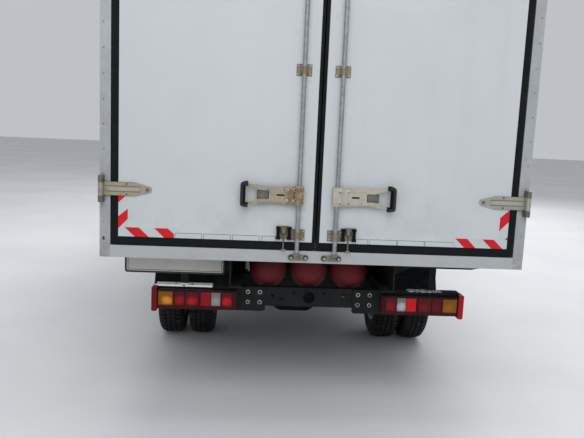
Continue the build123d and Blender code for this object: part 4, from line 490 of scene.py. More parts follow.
class TruckFinishes(bpy.types.PropertyGroup):
    """Colours of the main finishes."""

    panel: tone("Panel", "Body panels", (0.520, 0.545, 0.560))
    cab: tone("Cab paint", "Cab paint", (0.55, 0.58, 0.60))
    post: tone("Post", "Corner posts", (0.36, 0.375, 0.385))
    zinc: tone("Zinc", "Zinc plated fittings", (0.375, 0.315, 0.195))
    cylinder: tone("Cylinder", "Gas cylinders", (0.13, 0.013, 0.018))
    chassis: tone("Chassis", "Frame paint", (0.0058, 0.0068, 0.0070))


def sizes():
    return bpy.context.scene.truck_sizes


def tint_of(name):
    """One of the main finishes' colours."""
    return tuple(getattr(bpy.context.scene.truck_finishes, name))


# Finishes


def panel_finish():
    """White reinforced plastic: faint clouds, rain streaks, and road film that thickens downwards."""
    tint, grime = tint_of("panel"), (0.33, 0.32, 0.29)
    panel = Recipe("panel_white", tint)
    film = panel.noise(5.0, 6.0, 0.65)
    low = panel.z.ease(1.5, 0.95)
    panel.lay(panel.noise(1.6, 4.0).ease(0.35, 0.7), shade(tint, 0.955))
    panel.lay(panel.noise(9.0, 5.0, stretch=(1.0, 1.0, 0.07)).ease(0.55, 0.78) * 0.35, shade(tint, 0.86))
    panel.lay(film.ease(0.42, 0.75) * (low * 0.34 + 0.03), grime)
    specks = panel.cells(260.0).ease(0.09, 0.05) * panel.noise(30.0).ease(0.55, 0.7)
    panel.lay(specks * (low * 0.4 + 0.08), grime)
    panel.bump(panel.noise(420.0, 2.0) + panel.noise(24.0, 2.0) * 0.6, 0.0003, 0.5)
    return panel.finish(0.34 + film * 0.28, coat=0.12)


# The cab's inner faces: the side walls up to the belt and their lean above it, and the windscreen's plane
INNER_WALL_X = 0.955
BELT_Z = 1.237
WALL_LEAN = 0.1606
SCREEN_FOOT = (2.1408, 1.3)
SCREEN_SLOPE = 1.177


def cab_lining(steel, floor_z):
    """The faces that look into the cab: within its side walls, windscreen, rear wall and roof."""
    side = abs(steel.x) + (steel.z - BELT_Z).most(0.0) * WALL_LEAN
    screen = (steel.y - SCREEN_FOOT[0]) * SCREEN_SLOPE + steel.z - SCREEN_FOOT[1]
    inner = side.ease(INNER_WALL_X + 0.001, INNER_WALL_X - 0.001) * screen.ease(0.021, 0.019)
    return inner * steel.z.between(floor_z, 2.075) * steel.y.between(0.6195, 2.15)


def cab_finish(name, tint, floor_z=None):
    """Gloss paint with road film low down and orange peel, and matt trim inside the cab above floor_z."""
    steel = Recipe(name, tint)
    film = steel.noise(4.0, 6.0, 0.6)
    low = steel.z.ease(1.1, 0.5)
    steel.lay(steel.noise(1.1, 2.0).ease(0.3, 0.7), shade(tint, 0.96))
    steel.lay(film.ease(0.38, 0.7) * (low * 0.75 + 0.05), (0.23, 0.215, 0.19))
    chips = steel.cells(120.0).ease(0.07, 0.04) * steel.noise(14.0).ease(0.62, 0.72) * low
    steel.lay(chips, (0.16, 0.08, 0.045))
    steel.bump(steel.noise(300.0, 2.0), 0.0002, 0.4)
    roughness = 0.26 + film * low * 0.4
    if floor_z is None:
        return steel.finish(roughness, coat=0.55)
    lining = cab_lining(steel, floor_z)
    trim = steel.mix(steel.z.ease(1.236, 1.244), (0.030, 0.031, 0.033), (0.17, 0.17, 0.165))
    steel.lay(lining, steel.mix(steel.noise(260.0, 3.0).ease(0.4, 0.7) * 0.3, trim, (0.05, 0.05, 0.05)))
    return steel.finish(roughness * (1.0 - lining) + lining * 0.8, coat=(1.0 - lining) * 0.55)


def aged_aluminium(metal):
    """Dull aluminium: an even grey with fine dark speckle, faint rain streaks and small dents."""
    tint = tint_of("post")
    cloud = metal.noise(7.0, 4.0, 0.6)
    speck = metal.noise(330.0, 3.0, 0.65)
    metal.colour = metal.mix(cloud.ease(0.3, 0.75), shade(tint, 0.9), shade(tint, 1.1))
    metal.lay(speck.ease(0.52, 0.72) * 0.55, shade(tint, 0.4))
    metal.lay(metal.noise(75.0, 5.0, 0.7).ease(0.62, 0.74) * 0.5, shade(tint, 0.3))
    metal.lay(metal.noise(30.0, 4.0, stretch=(1.0, 1.0, 0.05)).ease(0.6, 0.8) * 0.25, shade(tint, 0.5))
    return speck, cloud


def post_finish():
    """Bare corner trims."""
    metal = Recipe("post_aluminium", tint_of("post"))
    speck, cloud = aged_aluminium(metal)
    metal.bump(speck + cloud * 0.5, 0.0003, 0.5)
    return metal.finish(0.45 + cloud * 0.2, metallic=0.3)


def portal_finish():
    """The rear door frame: bare aluminium posts at the sides and white panel on the sill and header, darkened
    below the body panels' white as painted shade.
    """
    metal = Recipe("portal_frame", tint_of("post"))
    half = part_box("rear_frame")[1][0]
    corner = abs(metal.x).ease(half - 0.0535, half - 0.0525)
    speck, cloud = aged_aluminium(metal)
    dents = metal.cells(34.0).ease(0.10, 0.05) * metal.noise(9.0).ease(0.5, 0.6)
    metal.lay(dents, (0.04, 0.04, 0.04))
    # A nick low on the left post
    nick_x, nick_z = metal.x + 1.070, metal.z - 0.984
    nick = nick_x * nick_x + nick_z * nick_z * 0.5 + (metal.noise(110.0, 4.0, 0.7) - 0.5) * 0.00022
    metal.lay(nick.ease(0.00006, 0.00003), (0.03, 0.03, 0.03))
    splashed = metal.z.ease(1.06, 0.92) * metal.noise(30.0, 5.0, 0.7).ease(0.35, 0.65)
    metal.lay(splashed * 0.4, (0.17, 0.165, 0.155))
    film = metal.noise(7.0, 6.0, 0.65)
    splash = metal.noise(120.0, 4.0, 0.7).ease(0.6, 0.75) * metal.z.ease(0.96, 0.89)
    # The sill and header: the panel white made darker as painted shade, under road film and splashes
    sill = metal.mix(film.ease(0.4, 0.75) * 0.3, shade(tint_of("panel"), 0.715), (0.30, 0.29, 0.27))
    sill = metal.mix(splash * 0.5, sill, (0.16, 0.15, 0.14))
    metal.colour = metal.mix(corner, sill, metal.colour)
    metal.bump(speck * corner + film * 0.4 - dents * 1.5, 0.0005, 0.5)
    return metal.finish(0.36 + cloud * 0.25, metallic=corner * 0.3)


def rubber_finish(name="seal_rubber", tint=(0.0058, 0.0074, 0.0084), dust=0.06):
    """Matte black rubber with a little dust in it."""
    rubber = Recipe(name, tint)
    film = rubber.noise(22.0, 6.0, 0.7)
    rubber.lay(film.ease(0.5, 0.8) * dust, (0.16, 0.155, 0.145))
    rubber.bump(rubber.noise(500.0, 2.0), 0.0003, 0.5)
    return rubber.finish(0.62 + film * 0.2, specular=0.12)


def passivated(metal, tint, other, wear=1.0):
    """Zinc plate with its yellow passivation: straw and grey patches, brown stains, fine dark grime."""
    stain = metal.noise(38.0, 6.0, 0.75)
    grime = metal.noise(150.0, 5.0, 0.75)
    fine = metal.noise(420.0, 3.0, 0.6)
    brown = (tint[0] * 0.5, tint[1] * 0.38, tint[2] * 0.26)
    colour = metal.mix(metal.noise(22.0, 5.0, 0.7).ease(0.38, 0.62), tint, other)
    colour = metal.mix(stain.ease(0.50, 0.68) * (0.55 * wear), colour, brown)
    colour = metal.mix(grime.ease(0.54, 0.68) * (0.6 * wear), colour, shade(tint, 0.22))
    colour = metal.mix(fine.ease(0.62, 0.78) * 0.4, colour, (0.60, 0.58, 0.53))
    return colour, fine + stain * 0.6 - grime * 0.5


def zinc_finish(name, tint, other):
    """Plain zinc plated steel."""
    metal = Recipe(name, tint)
    metal.colour, relief = passivated(metal, tint, other)
    metal.bump(relief, 0.0003, 0.5)
    return metal.finish(0.38 + metal.noise(60.0) * 0.25, metallic=0.55)


def strap_layers(metal, x):
    """The hinge straps: a painted highlight along the top of the rib, and dark brown lines along the foot of
    the rib and round the edge that are painted shade and dirt.
    """
    worn = metal.noise(60.0, 5.0, 0.7)
    strap = x.ease(0.80, 0.81)
    for hinge_z in HINGE_ZS:
        off = abs(metal.z - hinge_z)
        foot = off.between(0.0105, 0.0150, 0.0015) * x.between(0.886, 1.060, 0.004) * worn.ease(0.25, 0.5)
        ridge = off.between(0.0, 0.0085, 0.003) * x.between(0.893, 1.052, 0.006) * worn.ease(0.3, 0.6)
        edge = off.between(0.0315, 0.0345, 0.0015) * worn.ease(0.3, 0.55)
        # Painted shade and dirt at the foot of the rib, a painted highlight on its top, and painted shade and
        # dirt round the strap's edge
        metal.lay(foot * 0.75 * strap, (0.13, 0.10, 0.055))
        metal.lay(ridge * 0.4 * strap, (0.50, 0.465, 0.38))
        metal.lay(edge * 0.6 * strap, (0.12, 0.095, 0.055))


def handle_layers(metal, x, stain):
    """The handles: rust by the left bar and a run of brown along the lower edge."""
    rise = metal.z - HANDLE_Z
    on_left = metal.x.ease(0.0, -0.01)
    rust = stain.ease(0.34, 0.56) * x.ease(0.182, 0.150) * abs(rise).ease(0.052, 0.034) * on_left
    metal.lay(rust * 0.85, (0.165, 0.088, 0.032))
    low_edge = rise.between(-0.049, -0.036, 0.004) * x.between(0.08, 0.30, 0.004)
    metal.lay(low_edge * stain.ease(0.35, 0.6) * 0.6, (0.20, 0.13, 0.055))


def guide_layers(metal, x, stain):
    """The guides and the catch plates: browner, with painted shade darkening the guides' edges."""
    from_bar = abs(x - BAR_X)
    for guide_z in GUIDE_ZS:
        off = abs(metal.z - guide_z)
        plate = off.ease(0.0300, 0.0295) * x.between(0.050, 0.142, 0.0006)
        metal.lay(plate * (stain.ease(0.3, 0.6) * 0.40 + 0.45), (0.17, 0.14, 0.09))
        saddle = from_bar.ease(0.0175, 0.0165) * plate
        metal.lay(saddle * stain.ease(0.3, 0.55) * 0.45, (0.25, 0.15, 0.065))
        # Painted shade along the edges of each guide plate
        rim = (off.ease(0.0235, 0.0265) + from_bar.ease(0.0345, 0.0370)).least(1.0) * plate
        metal.lay(rim * 0.75, (0.045, 0.04, 0.03))
    catch = abs(metal.z - 1.046).ease(0.036, 0.035) * x.between(0.1435, 0.2045, 0.0006)
    metal.lay(catch * (stain.ease(0.3, 0.6) * 0.4 + 0.35), (0.12, 0.10, 0.065))


def fittings_finish():
    """The door fittings: zinc straps, guides and handles, dull galvanised bars and black grips."""
    metal = Recipe("door_fittings", tint_of("zinc"))
    x = abs(metal.x)
    left, relief = passivated(metal, tint_of("zinc"), (0.33, 0.315, 0.27))
    right, _ = passivated(metal, (0.47, 0.435, 0.345), (0.43, 0.42, 0.375), 0.85)
    right = metal.mix(x.ease(0.79, 0.80) * 0.6, right, (0.29, 0.30, 0.275))
    metal.colour = metal.mix(metal.x.ease(-0.02, 0.02), left, right)
    stain = metal.noise(48.0, 6.0, 0.8)
    strap_layers(metal, x)
    handle_layers(metal, x, stain)
    guide_layers(metal, x, stain)
    # The bars, between the handles and the guides that cover them
    on_bar = abs(x - BAR_X).ease(0.0116, 0.0110)
    for cover_z, half in ((HANDLE_Z, 0.049), *((guide_z, 0.0165) for guide_z in GUIDE_ZS)):
        on_bar = on_bar * abs(metal.z - cover_z).ease(half, half + 0.0005)
    bloom = metal.noise(45.0, 5.0, 0.7)
    metal.lay(on_bar, metal.mix(bloom.ease(0.4, 0.7), (0.245, 0.256, 0.264), (0.36, 0.371, 0.376)))
    # The key slot, painted black as the shade inside it, and the black grip
    off = abs(metal.z - HANDLE_Z)
    slot = off.ease(0.0048, 0.0040) * x.between(0.1700, 0.2095, 0.0006)
    grip = x.ease(0.3515, 0.3525) * off.ease(0.075, 0.07) * x.ease(0.41, 0.40)
    metal.lay(slot, (0.006, 0.006, 0.006))
    metal.lay(grip, (0.005, 0.006, 0.007))
    metal.bump(relief, 0.0004, 0.6)
    dark = grip.most(slot)
    return metal.finish(0.36 + bloom * 0.25 + dark * 0.25, metallic=(1.0 - dark) * 0.5)


def bracket_finish():
    """Hinge lugs on the posts in weathered grey, and dirty zinc keepers with painted shadow round their
    bolts.
    """
    metal = Recipe("door_brackets", tint_of("zinc"))
    metal.colour, relief = passivated(metal, (0.27, 0.255, 0.20), (0.15, 0.15, 0.13))
    worn, _ = passivated(metal, (0.17, 0.165, 0.14), (0.10, 0.098, 0.082))
    across = abs(abs(metal.x) - KEEPER_X) - KEEPER_BOLT_REACH
    up = metal.z - KEEPER_Z
    # Painted shadow round each of the keeper's bolts
    metal.lay((across * across + up * up).ease(0.00024, 0.00012) * 0.8, (0.03, 0.03, 0.028))
    metal.colour = metal.mix(abs(metal.x).ease(0.9, 0.95), metal.colour, worn)
    metal.bump(relief, 0.0004, 0.7)
    return metal.finish(0.42 + metal.noise(60.0) * 0.25, metallic=0.45)


def cylinder_finish():
    """Dull red paint with dust lying on top, chips down to grey primer and rust freckles."""
    tint = tint_of("cylinder")
    steel = Recipe("cylinder_red", tint)
    dust = steel.noise(26.0, 6.0, 0.7)
    chips = steel.cells(70.0).ease(0.10, 0.06) * steel.noise(11.0).ease(0.56, 0.64)
    steel.lay(steel.noise(9.0, 5.0, 0.6).ease(0.35, 0.7), shade(tint, 0.72))
    steel.lay(dust.ease(0.5, 0.8) * 0.3, (0.11, 0.06, 0.055))
    steel.lay(chips, (0.12, 0.075, 0.06))
    steel.bump(steel.noise(240.0, 2.0) - chips * 2, 0.0004, 0.5)
    return steel.finish(0.5 + dust * 0.3, coat=0.02, specular=0.22)


def chassis_finish(name="chassis_black", dust_amount=0.3):
    """Black frame paint under road dust, with rust at chips."""
    steel = Recipe(name, tint_of("chassis"))
    fine = steel.noise(90.0, 5.0, 0.7)
    rust = steel.noise(34.0, 6.0, 0.75).ease(0.68, 0.78)
    steel.lay(steel.noise(6.0, 7.0, 0.7).ease(0.42, 0.78) * dust_amount, (0.042, 0.041, 0.038))
    steel.lay(fine.ease(0.6, 0.78) * dust_amount, (0.060, 0.057, 0.051))
    steel.lay(rust * 0.55, (0.11, 0.045, 0.022))
    steel.bump(fine + rust, 0.0006, 0.5)
    return steel.finish(0.5 + fine * 0.3, specular=0.22)


def beam_finish():
    """Frame paint on the lamp beam, with a pale dried crust along the tops of its lamp brackets."""
    steel = Recipe("beam_black", tint_of("chassis"))
    fine = steel.noise(110.0, 5.0, 0.7)
    steel.lay(steel.noise(8.0, 7.0, 0.7).ease(0.42, 0.78) * 0.25, (0.04, 0.039, 0.036))
    gaps = steel.noise(32.0, 4.0, 0.6)
    left = steel.x.between(-0.861, -0.53) * steel.z.between(0.6900, 0.7045) * gaps.ease(0.34, 0.38)
    right = steel.x.between(0.55, 0.74) * steel.z.between(0.6975, 0.7035) * fine.ease(0.47, 0.55)
    crust = left.most(right)
    steel.lay(crust, (0.93, 0.93, 0.90))
    steel.lay(steel.noise(34.0, 6.0, 0.75).ease(0.66, 0.78) * 0.4, (0.07, 0.035, 0.02))
    steel.bump(fine + crust * 2, 0.0006, 0.5)
    return steel.finish(0.55 + fine * 0.3, specular=0.2)


def tyre_finish():
    """Road rubber: grey where the tread runs, dust in the grooves and on the wall."""
    rubber = Recipe("tyre_rubber", (0.0075, 0.0078, 0.0085))
    dust = rubber.noise(14.0, 6.0, 0.7)
    fine = rubber.noise(160.0, 4.0, 0.7)
    rubber.lay(dust.ease(0.4, 0.75) * 0.4, (0.055, 0.053, 0.049))
    rubber.lay(fine.ease(0.6, 0.8) * 0.25, (0.085, 0.08, 0.074))
    rubber.bump(fine, 0.0005, 0.6)
    return rubber.finish(0.66 + dust * 0.2, specular=0.3)


def rim_finish():
    """Silver wheel paint, dusty, with brown streaks from the nuts."""
    steel = Recipe("rim_silver", (0.40, 0.41, 0.42))
    dust = steel.noise(18.0, 6.0, 0.7)
    rust = steel.noise(60.0, 6.0, 0.7).ease(0.62, 0.74)
    steel.lay(dust.ease(0.4, 0.7) * 0.75, (0.13, 0.12, 0.105))
    steel.lay(rust * 0.7, (0.15, 0.06, 0.03))
    steel.bump(steel.noise(260.0, 3.0) + rust, 0.0004, 0.5)
    return steel.finish(0.4 + dust * 0.3, metallic=0.35)


# Fields of the tail lamp, outwards: from, to, edge colour (painted shade at the field's edges), lit colour
# (painted light), the bulb's place, where a painted highlight spot sits (none if evenly lit), and how
# strongly the left and the right lamp's field is painted lit; the lamps are not switched on
LAMP_FIELDS = (
    (0.422, 0.476, (0.075, 0.004, 0.007), (0.50, 0.006, 0.012), 0.449, 1.0, 0.25),
    (0.484, 0.533, (0.15, 0.135, 0.14), (0.42, 0.40, 0.41), 0.508, 0.4, 1.0),
    (0.536, 0.590, (0.160, 0.004, 0.006), (0.56, 0.009, 0.016), None, 0.1, 0.8),
    (0.601, 0.677, (0.060, 0.004, 0.006), (0.42, 0.006, 0.010), 0.636, 0.95, 0.2),
    (0.679, 0.730, (0.055, 0.003, 0.005), (0.36, 0.006, 0.009), 0.704, 0.85, 0.1),
    (0.740, 0.817, (0.175, 0.055, 0.006), (0.62, 0.24, 0.020), 0.772, 0.95, 0.2),
    (0.826, 0.900, (0.080, 0.004, 0.007), (0.36, 0.006, 0.014), None, 0.1, 0.75),
)
# Where the lamp's taller end field begins, and the height of the bulbs and of the painted highlight spots
# over them
LAMP_END_X = 0.82
BULB_Z = 0.622


def lamp_finish():
    """Tail lamps in one moulding: red, clear and amber fields over bulbs, prisms and a dark housing; the
    lamps are off, and the bright spots over the bulbs, the darker field edges and the left and right lamps'
    different brightness are painted light and shade.
    """
    housing = (0.036, 0.0022, 0.004)
    lens = Recipe("tail_lamp_lens", housing)
    across, up = abs(lens.x), lens.z
    prisms = lens.cells(210.0)
    lens.lay(lens.noise(20.0).ease(0.4, 0.7), shade(housing, 1.5))
    window, end = up.between(0.5965, 0.6700, 0.0012), up.between(0.560, 0.700)
    on_right = lens.x.ease(-0.1, 0.1)
    blot = lens.noise(55.0, 3.0, 0.6)
    for low, high, edge, lit, bulb, left, right in LAMP_FIELDS:
        # Painted light on each field, stronger on one lamp than on the other, with a painted highlight spot
        # over the bulb
        painted_light = on_right * (right - left) + left
        if bulb:
            off, rise = across - bulb, up - BULB_Z
            painted_light = (off * off * 0.7 + rise * rise + blot * 0.0007).ease(0.0013, 0.0002) * painted_light
        tinted = lens.mix((painted_light + prisms * 0.12).least(1.0), edge, lit)
        lens.lay(across.between(low, high) * (end if low > LAMP_END_X else window), tinted)
    lens.lay(up.ease(0.6750, 0.6758) * across.ease(0.828, 0.826), (0.0055, 0.0055, 0.006))
    dust = lens.noise(30.0, 6.0, 0.7).ease(0.5, 0.8)
    lens.lay(dust * 0.08, (0.12, 0.09, 0.08))
    lens.bump(lens.waves("X", 95.0) + prisms * 0.5, 0.0006, 0.5)
    return lens.finish(0.28 + dust * 0.3, coat=0.03, specular=0.14)


def plastic_finish(name, tint=(0.02, 0.021, 0.023), grain=350.0):
    """Grained moulded plastic with a little dust."""
    plastic = Recipe(name, tint)
    dust = plastic.noise(9.0, 6.0, 0.7)
    plastic.lay(dust.ease(0.45, 0.8) * 0.3, tuple(c * 0.5 + 0.08 for c in tint))
    plastic.bump(plastic.cells(grain), 0.0003, 0.6)
    return plastic.finish(0.5 + dust * 0.25)


def glass_finish():
    """Clear safety glass, a little green, with a film of dust."""
    glass = Recipe("window_glass", (0.30, 0.36, 0.35))
    film = glass.noise(3.0, 5.0, 0.6)
    glass.feed(glass.shader.inputs["Alpha"], 0.22 + film.ease(0.5, 0.9) * 0.14)
    return glass.finish(0.05 + film * 0.06)


# Middle of a headlamp's reflector
HEADLAMP_X, HEADLAMP_Z = 0.645, 0.845


def headlamp_finish():
    """Moulded headlamp lens: upright flutes over a reflector bowl drawn as painted reflection (a bright rim,
    a dark bowl and a bright centre), with a black surround and an amber end.
    """
    lens = Recipe("headlamp_lens", (0.13, 0.135, 0.14))
    flutes = lens.waves("X", 30.0)
    x = abs(lens.x)
    across, up = x - HEADLAMP_X, lens.z - HEADLAMP_Z
    reach = across * across * 0.55 + up * up
    lens.lay(flutes, (0.30, 0.315, 0.33))
    # The reflector: a bright ring at its rim, a dark bowl and a bright centre, all painted reflection
    lens.lay(reach.ease(0.0052, 0.0046), (0.42, 0.44, 0.46))
    lens.lay(reach.ease(0.0042, 0.0014) * (flutes * 0.5 + 0.5), (0.09, 0.095, 0.10))
    lens.lay(reach.ease(0.0007, 0.0003), (0.66, 0.68, 0.70))
    lens.lay(x.ease(0.79, 0.7925), lens.mix(flutes, (0.42, 0.13, 0.015), (0.62, 0.22, 0.03)))
    rim = (abs(up).ease(0.0755, 0.0765) + x.ease(0.5095, 0.5085)).least(1.0)
    lens.lay(rim.most(x.between(0.784, 0.791, 0.0008)), (0.012, 0.012, 0.013))
    lens.bump(flutes, 0.0012, 0.6)
    return lens.finish(0.1, coat=0.6)


def tape_finish(name, tint):
    """Retroreflective tape: a fine honeycomb under a clear film."""
    tape = Recipe(name, tint)
    wall = tape.cells(260.0, "DISTANCE_TO_EDGE").ease(0.10, 0.04)
    dirt = tape.noise(12.0, 6.0, 0.7).ease(0.5, 0.8)
    tape.lay(wall * 0.5, shade(tint, 0.75))
    tape.lay(dirt * 0.3, tuple(c * 0.55 + 0.012 for c in tint))
    tape.bump(wall, 0.0002, 0.4)
    return tape.finish(0.30 + dirt * 0.3, coat=0.1, specular=0.25)


def fabric_finish(name="seat_cloth", threads=160.0):
    """Woven seat cloth: crossing threads in two greys."""
    cloth = Recipe(name, (0.030, 0.032, 0.037))
    weave = cloth.waves("X", threads) * cloth.waves("Y", threads)
    cloth.lay(weave, (0.085, 0.09, 0.10))
    cloth.lay(cloth.noise(7.0, 5.0).ease(0.5, 0.8) * 0.3, (0.12, 0.12, 0.12))
    cloth.bump(weave, 0.0006, 0.7)
    return cloth.finish(0.86)


def plate_finish():
    """The blank plate: white reflective film, a dark border line and road dirt."""
    film = Recipe("plate_white", (0.47, 0.46, 0.42))
    dirt = film.noise(16.0, 6.0, 0.7)
    across, up = abs(film.x - PLATE_X), abs(film.z - PLATE_Z)
    border = across.between(0.2505, 0.2535) * (up < 0.0525) + up.between(0.0475, 0.0505) * (across < 0.2525)
    comb = film.cells(420.0, "DISTANCE_TO_EDGE").ease(0.10, 0.04)
    film.lay(dirt.ease(0.45, 0.8) * 0.45, (0.30, 0.28, 0.24))
    film.lay(border.least(1.0), (0.03, 0.03, 0.032))
    film.bump(comb * 0.4 + dirt, 0.0002, 0.4)
    return film.finish(0.24 + dirt * 0.3, coat=0.25)


def mirror_finish():
    """Silvered mirror glass with dust and dried drops."""
    glass = Recipe("mirror_silver", (0.72, 0.75, 0.77))
    dust = glass.noise(20.0, 6.0, 0.7).ease(0.5, 0.9)
    drops = glass.cells(110.0).ease(0.10, 0.07) * glass.noise(18.0).ease(0.5, 0.6)
    glass.lay(dust * 0.35, (0.40, 0.39, 0.37))
    glass.bump(drops, 0.0001, 0.3)
    return glass.finish(0.05 + dust * 0.18 + drops * 0.2, metallic=0.95)


def floor_finish():
    """Pale studio floor."""
    floor = Recipe("studio_floor", (0.60, 0.61, 0.62))
    floor.lay(floor.noise(0.8, 4.0).ease(0.3, 0.7), (0.66, 0.665, 0.67))
    return floor.finish(0.9)


# Nodes painted like the frame
FRAME_NODES = (
    "frame_rails crossmembers cylinder_rack box_bearers leaf_springs rear_axle propeller_shaft front_axle "
    "side_tanks tie_rod knuckle"
)


class TRUCK_OT_finishes(bpy.types.Operator):
    """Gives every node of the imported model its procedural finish"""

    bl_idname = "truck.finishes"
    bl_label = "Finishes of the packed model"

    def execute(self, context):
        cab = tint_of("cab")
        kinds = {
            panel_finish(): "box_floor box_side_walls box_front_wall box_roof rear_door",
            post_finish(): "corner_trims",
            portal_finish(): "rear_frame",
            rubber_finish(): "door_seal",
            bracket_finish(): "door_brackets",
            fittings_finish(): "door_fittings",
            cylinder_finish(): "gas_cylinders",
            chassis_finish(): FRAME_NODES,
            beam_finish(): "rear_beam",
            chassis_finish("bare_steel", 0.6): "powertrain_block exhaust",
            tyre_finish(): "tyre_front tyres_rear",
            rim_finish(): "rim_front rims_rear",
            lamp_finish(): "tail_lamps",
            headlamp_finish(): "headlamps",
            cab_finish("cab_paint", cab): "bonnet",
            cab_finish("cab_shell_paint", cab, 0.773): "cab_shell",
            cab_finish("cab_door_paint", cab, 0.60): "cab_door",
            glass_finish(): "cab_glass door_glass",
            plastic_finish("trim_black"): "front_bumper grille mirror condenser_fan",
            rubber_finish("mudguard_rubber", (0.0036, 0.0045, 0.0050), 0.14): "mudguards",
            cab_finish("unit_white", (0.62, 0.64, 0.66)): "reefer_unit",
            fabric_finish(): "seats",
            plastic_finish("facia_plastic", (0.045, 0.046, 0.048)): "dashboard",
        }
        for material, stems in kinds.items():
            for name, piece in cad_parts.items():
                if name.removesuffix("_left").removesuffix("_right") in stems.split():
                    give(piece, material)
        return {"FINISHED"}


# Patterns for small fasteners


def rivet_pattern(radius, height):
    """A pop rivet: a low dome with the small hole of its drawn pin."""
    rivet = disc("rivet_pattern", (0, 0, 0), UPWARD, radius, height, 12)
    pick_facing(rivet, UPWARD)
    bevel(radius * 0.42, 2)
    return inset(rivet, UPWARD, (radius * 0.2, 0), (radius * 0.02, -radius * 0.3))


def bolt_pattern(half_width, washer=False):
    """A hexagon head with a chamfered top, standing on a washer if it has one."""
    base = half_width * 0.28 if washer else 0.0
    head = disc("bolt_pattern", (0, 0, base), UPWARD, half_width * 1.15, half_width * 1.2, 6)
    inset(head, UPWARD, (half_width * 0.18, half_width * 0.10))
    if not washer:
        return head
    ring = disc("washer_pattern", (0, 0, 0), UPWARD, half_width * 1.75, base, 20, half_width * 0.08)
    return join("bolt_pattern", [head, ring])


# Rear doors

# Red segments of the marking tape, as (x, z) corners from the photograph: the left door, then the right
RED_TAPE = {
    "left": (
        ((-0.996, 1.228), (-0.949, 1.270), (-0.949, 1.213), (-0.996, 1.169)),
        ((-0.996, 1.099), (-0.949, 1.139), (-0.949, 1.087), (-0.996, 1.038)),
        ((-0.965, 1.045), (-0.894, 1.045), (-0.843, 0.998), (-0.914, 0.998)),
        ((-0.817, 1.045), (-0.749, 1.045), (-0.718, 1.017), (-0.718, 0.998), (-0.768, 0.998)),
    ),
    "right": (
        ((0.949, 1.160), (0.996, 1.203), (0.996, 1.140), (0.949, 1.091)),
        ((0.982, 1.047), (0.996, 1.060), (0.996, 1.046)),
        ((0.865, 1.045), (0.925, 1.045), (0.975, 0.998), (0.915, 0.998)),
        ((0.723, 1.045), (0.786, 1.045), (0.832, 0.998), (0.772, 0.998)),
    ),
}

# Narrow pale segments along the bottom of each door, as distances from the middle of the truck
PALE_TAPE = {
    "left": ((0.580, 0.711), (0.436, 0.567), (0.289, 0.421), (0.207, 0.274)),
    "right": ((0.568, 0.720), (0.425, 0.561), (0.278, 0.418), (0.207, 0.266)),
}


def cut_sheet(outline, rear_y, thickness):
    """A flat sheet with a straight-sided outline, given as (x, z), standing proud to the rear of rear_y."""
    corners = [(x, rear_y, z) for x, z in outline]
    sheet = raw_mesh("sheet", corners, [], [range(len(corners))])
    bpy.ops.mesh.extrude_region_move(TRANSFORM_OT_translate={"value": (0, -thickness, 0)})
    face_outwards()
    return sheet


class TRUCK_OT_marking_tape(bpy.types.Operator):
    """Lays the red and pale marking tape along the lower outer corners of the rear doors"""

    bl_idname = "truck.marking_tape"
    bl_label = "Marking tape"

    # Lengths of the upright strip and of the corner with the strip beside it
    upright_length = 0.29
    corner_length = 0.278

    def execute(self, context):
        s = sizes()
        red = tape_finish("tape_red", (0.57, 0.006, 0.012))
        pale = tape_finish("tape_pale", (0.50, 0.545, 0.555))
        line = plastic_finish("tape_edge", (0.10, 0.10, 0.11))
        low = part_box("rear_door_left")[0]
        outer, bottom = -low[0], low[2]
        inner = outer - s.tape_width
        face_y = from_behind("rear_door_left", -0.7, 1.02).y

        def strip(side, x0, x1, height, thickness=s.tape_thickness):
            """A rectangle that stands on the bottom edge of a door."""
            xs = (side * x0, side * x1, side * x1, side * x0)
            zs = (bottom, bottom, bottom + height, bottom + height)
            return cut_sheet(zip(xs, zs), face_y, thickness)

        for side, side_name in SIDES:
            pales = [
                strip(side, inner, outer, self.upright_length),
                strip(side, outer - self.corner_length, inner, s.tape_width),
            ]
            lines = []
            for x0, x1 in PALE_TAPE[side_name]:
                wider = (x0 - s.tape_edge, x1 + s.tape_edge, s.narrow_tape + s.tape_edge)
                pales.append(strip(side, x0, x1, s.narrow_tape))
                lines.append(strip(side, *wider, s.tape_thickness / 3))
            red_y = face_y - s.tape_thickness
            reds = [cut_sheet(outline, red_y, s.tape_thickness) for outline in RED_TAPE[side_name]]
            leaf = f"rear_leaf_{side_name}"
            dress(join(f"pale_tape_{side_name}", pales), pale, leaf)
            dress(join(f"tape_edge_{side_name}", lines), line, leaf)
            dress(join(f"red_tape_{side_name}", reds), red, leaf)
        return {"FINISHED"}


class TRUCK_OT_number_plate(bpy.types.Operator):
    """Fixes a blank number plate in a black frame to the board under the sill"""

    bl_idname = "truck.number_plate"
    bl_label = "Blank number plate"

    # How far the frame reaches past the plate
    frame_rim = 0.009

    def execute(self, context):
        rim = self.frame_rim
        half_x, half_z = sizes().plate_width / 2, sizes().plate_height / 2
        board_y = from_behind("box_bearers", PLATE_X, PLATE_Z).y
        holder = self.plate("number_plate_frame", half_x + rim, half_z + rim, board_y, 0.006, 0.014)
        inset(holder, REARWARD, (rim * 0.8, 0), (0.0004, -0.004))
        dress(holder, plastic_finish("plate_frame_black", (0.016, 0.017, 0.018)), "chassis")
        plate = self.plate("number_plate", half_x, half_z, board_y - 0.002, 0.0015, 0.010)
        inset(plate, REARWARD, (0.004, 0.0006), (0.003, -0.0006))
        dress(plate, plate_finish(), "chassis")
        return {"FINISHED"}

    def plate(self, name, half_x, half_z, front_y, thickness, corner):
        """A flat plate about the middle of the plate space, with its four corners rounded."""
        xs, zs = (PLATE_X - half_x, PLATE_X + half_x), (PLATE_Z - half_z, PLATE_Z + half_z)
        piece = block(name, xs, (front_y - thickness, front_y), zs)

        def at_corner(edge):
            near, far = (piece.data.vertices[end].co for end in edge.vertices)
            return abs(near.y - far.y) > thickness / 2

        pick(piece, "EDGE", at_corner)
        bevel(corner, 5)
        return piece


